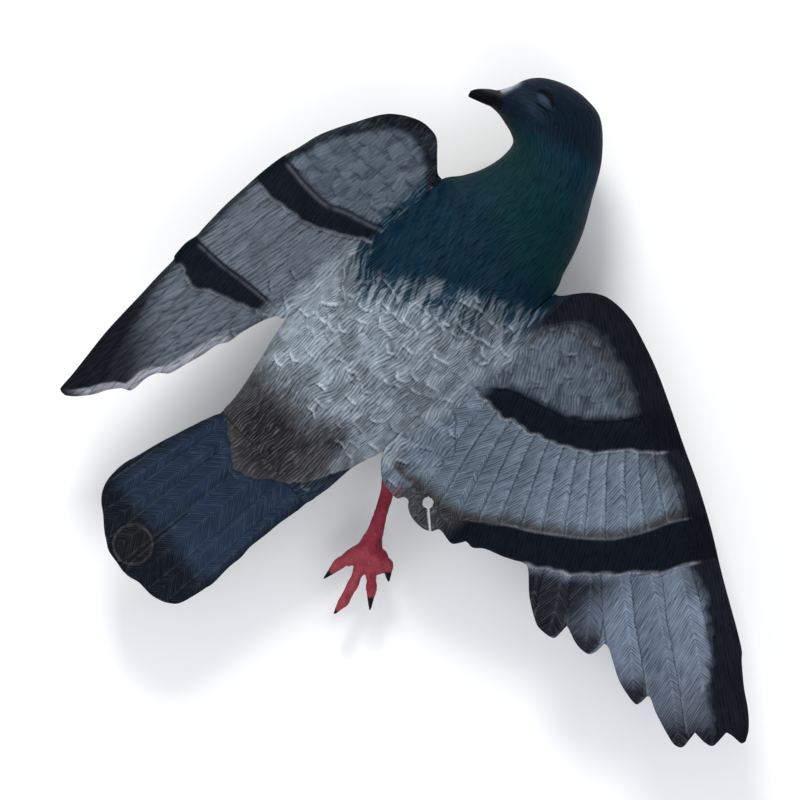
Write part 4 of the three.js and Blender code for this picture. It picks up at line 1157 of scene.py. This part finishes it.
def head_relief(x, y):
    """Height of the lids, the gape, the cere and the cheek over the smooth head."""
    arc, lens, crease = eye_marks(x, y)
    height = 0.65 * lens - 0.7 * arc - 0.55 * crease
    height += 0.55 * bell(y - 123.9 + 0.085 * (x + 35.2) ** 2, 0.8) * smooth((6.6 - np.abs(x + 35.1)) / 2)
    gape = y - (97.0 + (x + 60) * 0.43)
    height -= 0.45 * bell(gape, 0.55) * smooth((-44.5 - x) / 3)
    height += 0.9 * np.exp(-(((x + 53.4) / 2.0) ** 2 + ((y - 107.6) / 2.6) ** 2))
    height -= 0.4 * np.exp(-(((x + 56.8 - 0.25 * (y - 103)) / 0.9) ** 2 + ((y - 102.6) / 1.0) ** 2))
    return height


# Wavy ridges on the back, each with a painted highlight along it and painted shade in the groove below it.
CRESTS = [
    [(-26.8, -1.8), (-24, 0.5), (-21.4, 2.7)], [(-10, 15), (-6.4, 15.5)],
    [(5.5, 17), (11.8, 20), (16.8, 22.7)], [(13.6, 26), (17.3, 26), (20.5, 30)], [(-4, 2.3), (1.5, 3.6)],
    [(3.6, 6.8), (8, 5.5), (17.7, 5.5)], [(-20, 0), (-14.5, -1.8), (-9, -2.3)],
    [(-10, -10), (-5.5, -9.5), (-1.8, -6.4), (10, -6.4)], [(20, -7.3), (31, -5.5)],
    [(-10, -14.5), (-6.4, -18), (2.7, -16.8)], [(-20, -24.5), (-13.6, -23.6), (-10.5, -21)],
    [(2.7, -21), (7.3, -23), (11.8, -21.8)], [(-41, -12), (-34, -17), (-27, -22)],
    [(22, 12), (30, 15), (38, 16)], [(14, -34), (24, -31)], [(-30, -38), (-18, -36)],
    [(28, -20), (38, -18)], [(-2, -44), (8, -42)],
]


# Roots and tips of the long soft feathers between the left wing and the back.
SCAPULARS = [
    [(-56, -20), (-34, -42)], [(-55, -10), (-29, -31)], [(-52, -1), (-25, -19)], [(-50, 8), (-24, -7)],
]


def mantle(r):
    """Tufts of the back and the rump, which run out over the roots of the wings."""
    r.tufts((-36, 44), (-118, -62), (8, 6.5), 4.4, 17, fan=0.4, step=0.35, share=0.12)
    r.tufts((-53, 55), (-64, 44), (9.5, 6.5), 5.4, 18, fan=0.35, step=0.5, share=0.45,
            keep=lambda x, y: y < 20 + 0.65 * x)
    for k, (root, tip) in enumerate(SCAPULARS):
        r.wisp(root, tip, 6.5, 0.6, 1.0, 2.3 + 0.7 * k)
    for points in CRESTS:
        r.crest(points)
    reach = rump_reach(r.x, r.y)
    # A raised edge where the rump's feathers end, with painted shade in the groove below it and a painted
    # highlight along it.
    r.height += 0.5 * smooth(reach / 0.8) * smooth((12 - reach) / 12) - 0.4 * bell(reach + 0.8, 0.7)
    r.rim += 0.5 * bell(reach - 0.5, 0.6)


def sculpt_back(r):
    """Lays the mantle, with shallower strokes on the neck."""
    r.cut *= 0.85 - 0.2 * smooth((r.y - 50) / 20)
    mantle(r)


# Where the rump's feathers end over the tail.
RUMP_EDGE = (
    [-30, -27, -20, -12, -3, 7.6, 17, 26, 31, 36],
    [-103, -105, -109, -113.5, -121, -116.5, -108, -98.4, -88, -76],
)


def rump_reach(x, y):
    """How far a point lies inside the edge of the rump's feathers, mm."""
    return y - np.interp(x, *RUMP_EDGE) - 2.4 * (noise(x / 2.2, y / 9, 64) - 0.5)


def wing_seam(x, y):
    """Distances to the right of and down the seam where the left wing's soft feathers end, mm."""
    from_x, from_y = x + 40.4, y - 8.9
    across_x, across_y, length = 19.7, 17.3, 26.2
    aside = (from_x * across_x + from_y * across_y) / length
    return aside, (from_x * across_y - from_y * across_x) / length


def body_colour(x, y):
    """Colours of the back, rump and neck, and how far each point lies past the edge of the neck."""
    tone = clouds(x, y, 14, 61)
    paint = fill(x.size, BACK) * (0.82 + 0.36 * tone)[:, None]
    spray(paint, RUMP, smooth((-62 - y) / 26))
    smudge = smooth(1.3 - np.hypot((x + 1) / 30, (y + 97) / 24))
    smudge += smooth(1.2 - np.hypot((x - 19) / 12, (y + 72) / 14))
    spray(paint, RUMP_DARK, 0.88 * np.clip(smudge, 0, 1) * (0.7 + 0.5 * tone))
    flank = bell(x - 30 + 0.15 * (y + 70), 3.2) * smooth((-64 - y) / 6) * smooth((y + 100) / 8)
    spray(paint, FLANK, 0.55 * flank)
    spray(paint, TAIL_MID, smooth(-rump_reach(x, y) / 1.5))
    ragged = 9.0 * (clouds(x, y, 9, 62) - 0.5) + 5.0 * (noise(x / 1.6, y / 8.0, 63) - 0.5)
    aside, down = wing_seam(x, y)
    collar = np.minimum(y - (16.8 + 0.65 * x), 2.2 * aside + 4) - ragged
    spray(paint, NECK_BLUE * 1.3, 0.5 * smooth((collar + 22) / 24))
    gullies = noise((x * 0.9 + y * 0.4 + 3 * noise(x / 9, y / 9, 66)) / 1.1, y / 8.0, 65)
    spray(paint, NECK_BLUE * 1.2, 0.92 * smooth((collar + 32) / 24) * smooth((0.56 - gullies) / 0.16))
    streaks = smooth((0.62 - noise(aside / 0.9, down / 8.0, 67)) / 0.2)
    streaks *= smooth((down + 1) / 5) * smooth((27 - down) / 9)
    spray(paint, NECK_BLUE * 1.2, 0.8 * bell(aside + 1.2, 2.8) * streaks)
    spray(paint, NECK_BLUE, 0.95 * smooth((collar + 2) / 9))
    green = bell(y - 78 + 0.4 * x, 24) * smooth((collar - 10) / 14)
    spray(paint, NECK_GREEN, np.clip(0.95 * green + 0.3 * (tone - 0.5), 0, 1) * smooth((collar - 4) / 12))
    return paint, collar


def paint_back(r):
    x, y = r.x, r.y
    tone = clouds(x, y, 14, 61)
    paint, collar = body_colour(x, y)
    shade = 0.8 * smooth((-24 - x) / 10) * smooth((100 - y) / 10)
    spray(paint, NECK_SHADE, shade * smooth((y - 50) / 12))
    spray(paint, CROWN, smooth((y - 109 - 0.45 * x) / 14))
    cheek = bell(np.hypot((x + 38) / 9, (y - 112) / 4))
    spray(paint, CHEEK, 0.45 * cheek)
    arc, lens, crease = eye_marks(x, y)
    spray(paint, LENS, 0.7 * lens)
    spray(paint, LID, 0.95 * np.clip(arc + crease, 0, 1))
    bill = on_bill(x, y)
    spray(paint, BEAK, bill)
    cere = bell(x + 52.6 - 0.22 * (y - 107), 1.5) * smooth((y - 105) / 1.5) * smooth((117 - y) / 3)
    spray(paint, CERE, 0.85 * cere)
    spray(paint, BILL_EDGE, 0.4 * bill * bell(y - 101.8 - 0.5 * (x + 58), 1.1))
    smoothness = smooth((y - 40) / 14)
    paint *= (1 + (1 - 0.5 * smoothness) * 0.85 * (r.tone - 0.5))[:, None]
    highlight = (1.0 - 0.93 * smooth((collar + 2) / 12)) * (1 - bill)
    return paint, np.clip(highlight * (0.8 + 0.4 * tone), 0, 1)


WALL = 2.6  # of the back, mm
HOLLOW = 0.93  # share of the half width inside the wall
BELLY_POWER = 2.6  # how square the belly's sections are


def hollow(sec):
    """Grid of the inside of the back: a flat lip at the parting line round a vault."""
    u = np.concatenate([[-1], HOLLOW * sine_spread(25), [1]])[None]
    x, y = across(sec, u)
    low = sec[:, 4:5] - LIP
    vault = np.maximum(0, 1 - (u / HOLLOW) ** 2) ** sec[:, 7:8]
    return np.stack([x, y, low + np.maximum(0, sec[:, 5:6] - WALL - low) * vault], -1)


def sine_spread(count):
    """Places across the body from -1 to 1, closer together at the rims."""
    return np.sin(np.linspace(-1, 1, count) * math.pi / 2)


def lengthwise(grid):
    """Turns a grid of sections so that the body's length runs along the columns, as slab() wants it."""
    return grid.swapaxes(0, 1)[::-1]


def body_lift(relief, x, y, u, calm, melt):
    """How far the relief moves a shell along its normals: nothing at the rims and at the bill's end."""
    lift = (relief.height.reshape(x.shape) - RELIEF_SINK) * smooth((x + 52) / 5) * calm
    lift += head_relief(x, y) * smooth((y - 88) / 6)
    return (lift * smooth(np.minimum(u + 1, 1 - u) / melt))[..., None]


def make_shell(name, outer, inner, values, outer_on_top, cutters, material):
    """Closes two grids of sections into one skin, cuts openings in it and paints their rims.

    The values are those of the outer grid and then those of the inner one.
    """
    split = outer.shape[0] * outer.shape[1]

    def turned(data, grid):
        return lengthwise(data.reshape(*grid.shape[:2], *data.shape[1:])).reshape(-1, *data.shape[1:])

    pairs = {key: (turned(v[:split], outer), turned(v[split:], inner)) for key, v in values.items()}
    step = 1 if outer_on_top else -1
    grids = (lengthwise(outer), lengthwise(inner))[::step]
    shell = slab(name, *grids, {key: np.concatenate(pair[::step]) for key, pair in pairs.items()})
    shell.data.materials.append(material)
    for cutter in cutters:
        cut(shell, cutter)
    heal(shell.data)
    return shell


def spar_slot(side, inner, top):
    """Opening for a wing's spar in the side of the body, from inner outwards and up to top."""
    outside, rear, front, bottom = 60, 22.5, 38, 33.5
    x0, x1 = sorted((side * inner, side * outside))
    return prism("spar_cutter", rectangle(x0, x1, rear, front), bottom, top)


def make_back(material):
    rows, columns = 430, 186
    sec = sections(rows)
    u = sine_spread(columns)[None]
    x, y = across(sec, u)
    rim, top, fall = sec[:, 4:5], sec[:, 5:6], sec[:, 7:8]
    z = rim + (top - rim) * np.maximum(0, 1 - u**2) ** fall
    relief = Relief(x, y, 5)
    flow_strokes(relief, sec, u)
    sculpt_back(relief)
    p = np.stack([x, y, z], -1)
    p += grid_normals(p) * body_lift(relief, x, y, u, 1 - 0.35 * smooth((y - 50) / 40), 0.02)
    low = np.broadcast_to(rim - LIP, x.shape)
    p[..., 2] = np.maximum(p[..., 2], low + 0.3)
    base = hollow(sec)
    paint, highlight = paint_back(relief)
    values = skin_values(relief, paint, highlight)
    lining = rim_paint(paint, rows, columns, base.shape[1])
    values = with_under(values, base[..., 0], base[..., 1], lining)
    slots = [spar_slot(-1, 33, 51.8), spar_slot(1, 33, 51.8)]
    back = make_shell("back_skin", p, base, values, True, slots, material)
    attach(back, "body")
    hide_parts("back_shell")


def make_belly(material):
    rows, columns = 330, 120
    sec = sections(rows)
    u = sine_spread(columns)[None]
    x, y = across(sec, u)
    part = sec[:, 4:5] - LIP - PART_GAP
    drop = np.maximum(0, 1 - np.abs(u) ** BELLY_POWER) ** (1 / BELLY_POWER)
    raw = part - (part - sec[:, 6:7]) * drop
    relief = Relief(x, y, 6)
    relief.scatter(-46, 48, -112, -58, 10, 9, 5.5, 22, lift=0.3, thick=0.35, crown=0.3)
    relief.scatter(-46, 48, -58, 92, 9.5, 8, 5.2, 17, lift=0.3, thick=0.3, crown=0.3)
    relief.scatter(-40, 34, 92, 134, 6, 5, 3.4, 10, lift=0.15, thick=0.15, crown=0.15,
                   keep=lambda a, b: a > -37)
    p = np.stack([x, y, np.maximum(raw, 0.0)], -1)
    p -= grid_normals(p) * body_lift(relief, x, y, u, smooth((raw - 0.2) / 6), 0.03)
    p[..., 2] = np.minimum(np.maximum(p[..., 2], 0.0), part - 0.3)
    fx, fy = relief.x, relief.y
    paint = fill(fx.size, BELLY) * (0.85 + 0.3 * clouds(fx, fy, 12, 71))[:, None]
    spray(paint, NECK_BLUE, smooth((fy - 34 - 6 * clouds(fx, fy, 8, 72)) / 16))
    spray(paint, NECK_GREEN, 0.8 * bell(fy - 78, 22))
    spray(paint, CROWN, smooth((fy - 104) / 16))
    spray(paint, BEAK, on_bill(fx, fy))
    values = skin_values(relief, paint, np.where(fy > 40, 0.4, 0.8))
    keep = [0, 30, 60, 89, 119]  # columns of the flat cap that closes the belly at the parting line
    cap = np.stack([x[:, keep], y[:, keep], np.broadcast_to(part, x.shape)[:, keep]], -1)
    values = with_under(values, cap[..., 0], cap[..., 1], rim_paint(paint, rows, columns, len(keep)))
    belly = make_shell("belly_skin", p, cap, values, False, belly_cutters(), material)
    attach(belly, "body")
    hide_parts("belly_shell")


def node_box(name):
    """Low and high corner of a CAD piece, mm."""
    low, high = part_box(name)
    return [v / MM for v in low], [v / MM for v in high]


def over_box(name, pads, z0, z1):
    """A cutter over a piece's box, grown by pads: left, right, rear and front, mm."""
    low, high = node_box(name)
    outline = rectangle(low[0] - pads[0], high[0] + pads[1], low[1] - pads[2], high[1] + pads[3])
    return prism("box_cutter", outline, z0, z1)


def node_middle(name):
    low, high = node_box(name)
    return (low[0] + high[0]) / 2, (low[1] + high[1]) / 2


def belly_cutters():
    """Openings for the battery tray, the stake socket, the switch, the screws and the wing spars."""
    below = -3
    cx, cy = node_middle("switch_body")
    made = [
        over_box("battery_tray", (0.3, 0.3, 0.3, 0.3), 2.4, 37),
        over_box("battery_door", (0.4, 0.4, 1.6, 0.4), below, 3.6),
        prism("socket_cutter", circle(*node_middle("stake_socket"), 8.8), below, 40.5),
        prism("switch_cutter", rectangle(cx - 2.4, cx + 2.4, cy - 5.5, cy + 5.5), below, 4.5),
    ]
    for k in range(1, 5):
        name = f"shell_screw_{k}"
        top = node_box(name)[0][2] + 2.4
        made.append(prism("screw_cutter", circle(*node_middle(name), 3.5, 28), below, top))
    return made + [spar_slot(-1, 34, 60), spar_slot(1, 34, 60)]


def make_eyes(material):
    """Two dark, wet eyes, each a low dome set in its lids."""
    rings, sides = 14, 48
    for name, up in (("eye_upper", 1), ("eye_lower", -1)):
        vertices = [(0, 0, 1)]
        for i in range(1, rings + 1):
            a = math.pi / 2 * i / rings
            for k in range(sides):
                b = 2 * math.pi * k / sides
                vertices.append((math.sin(a) * math.cos(b), math.sin(a) * math.sin(b), math.cos(a)))
        vertices.append((0, 0, -0.6))
        p = np.array(vertices) * (4.2, 1.0, 1.2)  # half length, half width and height
        faces = [(0, 1 + k, 1 + (k + 1) % sides) for k in range(sides)]
        for i in range(rings - 1):
            a, b = 1 + i * sides, 1 + (i + 1) * sides
            faces += [(a + k, b + k, b + (k + 1) % sides, a + (k + 1) % sides) for k in range(sides)]
        last = 1 + (rings - 1) * sides
        faces += [(last + k, len(vertices) - 1, last + (k + 1) % sides) for k in range(sides)]
        p[:, 2] *= up
        if up < 0:
            faces = [f[::-1] for f in faces]
        centre = np.array([EYE_X, EYE_Y + 0.05 * up, HEAD_MIDDLE + up * EYE_HEIGHT])
        eye = mesh_object(name, p + centre, faces, {})
        eye.data.materials.append(material)
        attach(eye, "body")


# ------------------------------------------------------------------ legs
def tube(vertices, faces, points, sides=20):
    """Adds a closed tube through x, y, z, radius points."""
    path = np.array(points, float)
    dense = spline(path, max(8, len(points) * 7))
    start = len(vertices)
    for k, (x, y, z, r) in enumerate(dense):
        ahead = dense[min(k + 1, len(dense) - 1)][:3] - dense[max(k - 1, 0)][:3]
        ahead /= np.linalg.norm(ahead)
        side = np.cross(ahead, (0, 0, 1))
        side /= np.linalg.norm(side)
        up = np.cross(side, ahead)
        for s in range(sides):
            a = 2 * math.pi * s / sides
            vertices.append(np.array([x, y, z]) + r * (math.cos(a) * side + math.sin(a) * up))
    for k in range(len(dense) - 1):
        a, b = start + k * sides, start + (k + 1) * sides
        faces += [(a + s, a + (s + 1) % sides, b + (s + 1) % sides, b + s) for s in range(sides)]
    faces.append(tuple(start + s for s in range(sides))[::-1])
    faces.append(tuple(start + (len(dense) - 1) * sides + s for s in range(sides)))


def toe(palm, knuckles, tip, radius):
    """Points of one toe, thick at its knuckles, with a claw at its end."""
    points = [(*palm, radius * 1.25)]
    for k, knuckle in enumerate(knuckles):
        previous = np.array(points[-1][:3])
        middle = (previous + knuckle) / 2
        points.append((*middle, radius * 0.86))
        points.append((*knuckle, radius * (1.08 - 0.08 * k)))
    points.append((*(np.array(knuckles[-1]) * 0.55 + np.array(tip) * 0.45), radius * 0.62))
    points.append((*tip, radius * 0.16))
    return points


def leg_piece(name, limbs, claws, node_name, material):
    """A scaled leg of tubes melted into one skin. A claw is x, y and how far from there it is dark."""
    vertices, faces = [], []
    for points in limbs:
        tube(vertices, faces, points)
    leg = mesh_object(name, vertices, faces, {})
    remesh = leg.modifiers.new("remesh", "REMESH")
    remesh.mode = "VOXEL"
    remesh.voxel_size = 0.55 * MM
    apply(leg, remesh)
    even = leg.modifiers.new("even", "SMOOTH")
    even.iterations = 4
    even.factor = 0.5
    apply(leg, even)
    mesh = leg.data
    co = np.empty(len(mesh.vertices) * 3)
    mesh.vertices.foreach_get("co", co)
    co = co.reshape(-1, 3)
    x, y = (co / MM).T[:2]
    normal = np.empty(co.size)
    mesh.vertices.foreach_get("normal", normal)
    normal = normal.reshape(-1, 3)
    run = y + 0.35 * x
    scutes = 2 * noise(x / 1.8, run / 1.3, 81) - 1
    pebble = noise(x / 0.8, y / 0.8, 82) - 0.5
    co += normal * ((0.10 * scutes + 0.12 * pebble) * MM)[:, None]
    mesh.vertices.foreach_set("co", co.ravel())
    paint = fill(x.size, LEG_RED) * (0.7 + 0.85 * clouds(x, y, 5, 83))[:, None]
    spray(paint, FOOT_RED * 1.2, 0.75 * smooth((-84 - y) / 14) * smooth((clouds(x, y, 5, 84) - 0.3) / 0.3))
    # Painted shade on the sides and undersides of the leg and toes, where they face away from above.
    spray(paint, LEG_RED * 0.3, 0.8 * smooth((0.25 - normal[:, 2]) / 0.6))
    for cx, cy, length in claws:
        near = np.hypot(x - cx, y - cy)
        spray(paint, CLAW, smooth((length - near) / 1.6))
    zero = np.zeros(x.size)
    # Painted shade in the grooves between the scales and painted highlights on the raised pebbles.
    groove, highlight = smooth((-0.45 - scutes) / 0.4) * 0.25, 0.5 * smooth((pebble - 0.1) / 0.2)
    set_values(mesh, skin_dict(paint, zero, zero, groove, run, x - 0.35 * y, highlight, zero + 0.05))
    mesh.materials.append(material)
    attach(leg, "body")
    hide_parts(node_name)
    return leg


def make_legs(material):
    palm = (73.5, -98.5, 21.6)
    right = [
        [(43, -42, 30, 6.2), (47.5, -52, 29, 6.2), (53, -64, 27.6, 4.3), (58, -71, 26.2, 3.5),
         (64, -81, 24.6, 3.4), (69.5, -90, 22.8, 4.4), (72, -95, 21.8, 5.6), (73.5, -98.5, 21.4, 6.0),
         (74.5, -102, 21, 5.4)],
        [(70, -92, 21.8, 4.6), (72.5, -98, 21.2, 5.0), (71, -104, 20.8, 4.6), (69.4, -110, 20.2, 3.4)],
        [(71, -92, 21.8, 4.6), (76, -97, 21.4, 5.2), (81, -99, 21, 4.4), (86, -101.5, 20.4, 3.2)],
        toe(palm, [(69.6, -106, 20.6), (68.6, -113, 19.6)], (69, -124.3, 18.6), 3.1),
        toe(palm, [(77.5, -107.5, 20.4), (80.8, -114.5, 19.4), (84.2, -124, 18.6)], (85.8, -132.4, 18), 3.0),
        toe(palm, [(82.5, -104, 20.4), (88.4, -109, 19.6)], (96.6, -117.6, 18.8), 2.9),
        toe(palm, [(79.5, -94.5, 21.4), (85.4, -95.4, 20.6)], (92.2, -100.8, 19.8), 3.0),
    ]
    claws = [(69, -124.5, 6.0), (85.8, -132.4, 3.4), (96.8, -117.8, 8), (92.3, -101, 6.2)]
    leg_piece("right_leg_skin", right, claws, "right_leg", material)
    palm = (-16, -104, 20.3)
    left = [
        [(-21.5, -62, 13, 4.6), (-21, -70, 12.4, 4.4), (-18, -82, 14.6, 3.2), (-16, -94, 18, 3.0),
         (-16, -104, 20.3, 4.4)],
        toe(palm, [(-20.5, -109, 20.3)], (-26, -116.8, 20.2), 2.3),
        toe(palm, [(-15.4, -112, 20.3)], (-14.6, -123, 20.2), 2.3),
        toe(palm, [(-10.4, -108.6, 20.3)], (-5, -115, 20.2), 2.3),
        toe(palm, [(-11.5, -99, 20)], (-7.5, -96, 19.8), 2.1),
    ]
    claws = [(-26, -116.8, 4), (-14.6, -123, 4), (-5, -115, 4), (-7.5, -96, 3)]
    leg_piece("left_leg_skin", left, claws, "left_leg", material)


# ------------------------------------------------------------------ finishes of the CAD pieces
def dress_frame():
    """Gives the CAD pieces that stay in view new materials, by their slot in the record."""
    by_slot = {
        "black_moulding": surface("black_moulding", (0.03, 0.031, 0.034), 0.5, grain=1500.0, depth=0.00004),
        "gear_nylon": surface("gear_nylon", (0.62, 0.6, 0.54), 0.42, grain=700.0, depth=0.00002, vary=0.1),
        "steel": surface("plated_steel", (0.55, 0.56, 0.58), 0.3, 1.0, 1800.0, 0.00001, 0.12, streak=True),
        "motor_can": surface("motor_can", (0.5, 0.5, 0.52), 0.36, 1.0, 1400.0, 0.00002, 0.15, streak=True),
        "cell_case": surface("cell_sleeve", (0.04, 0.12, 0.07), 0.33, grain=600.0, depth=0.00002, vary=0.2),
        "lead_sleeve": surface("lead_sleeve", (0.35, 0.02, 0.016), 0.42, depth=0.00002, vary=0.15),
    }
    slots = {entry["node"]: entry["material_slot"] for entry in frame["record"]["subparts"]}
    for name, obj in frame["nodes"].items():
        if slots[name] in by_slot:
            for place in obj.material_slots:
                place.material = by_slot[slots[name]]


def main():
    make_camera()
    make_stage()
    feathers = painted_feathers()
    dress_frame()
    make_back(feathers)
    make_belly(feathers)
    make_tail(feathers)
    make_right_wing(feathers)
    make_left_wing(feathers)
    make_legs(feathers)
    make_eyes(surface("eye", (0.006, 0.006, 0.008), 0.2, grain=500.0, depth=0.000005, vary=0.1))


main()
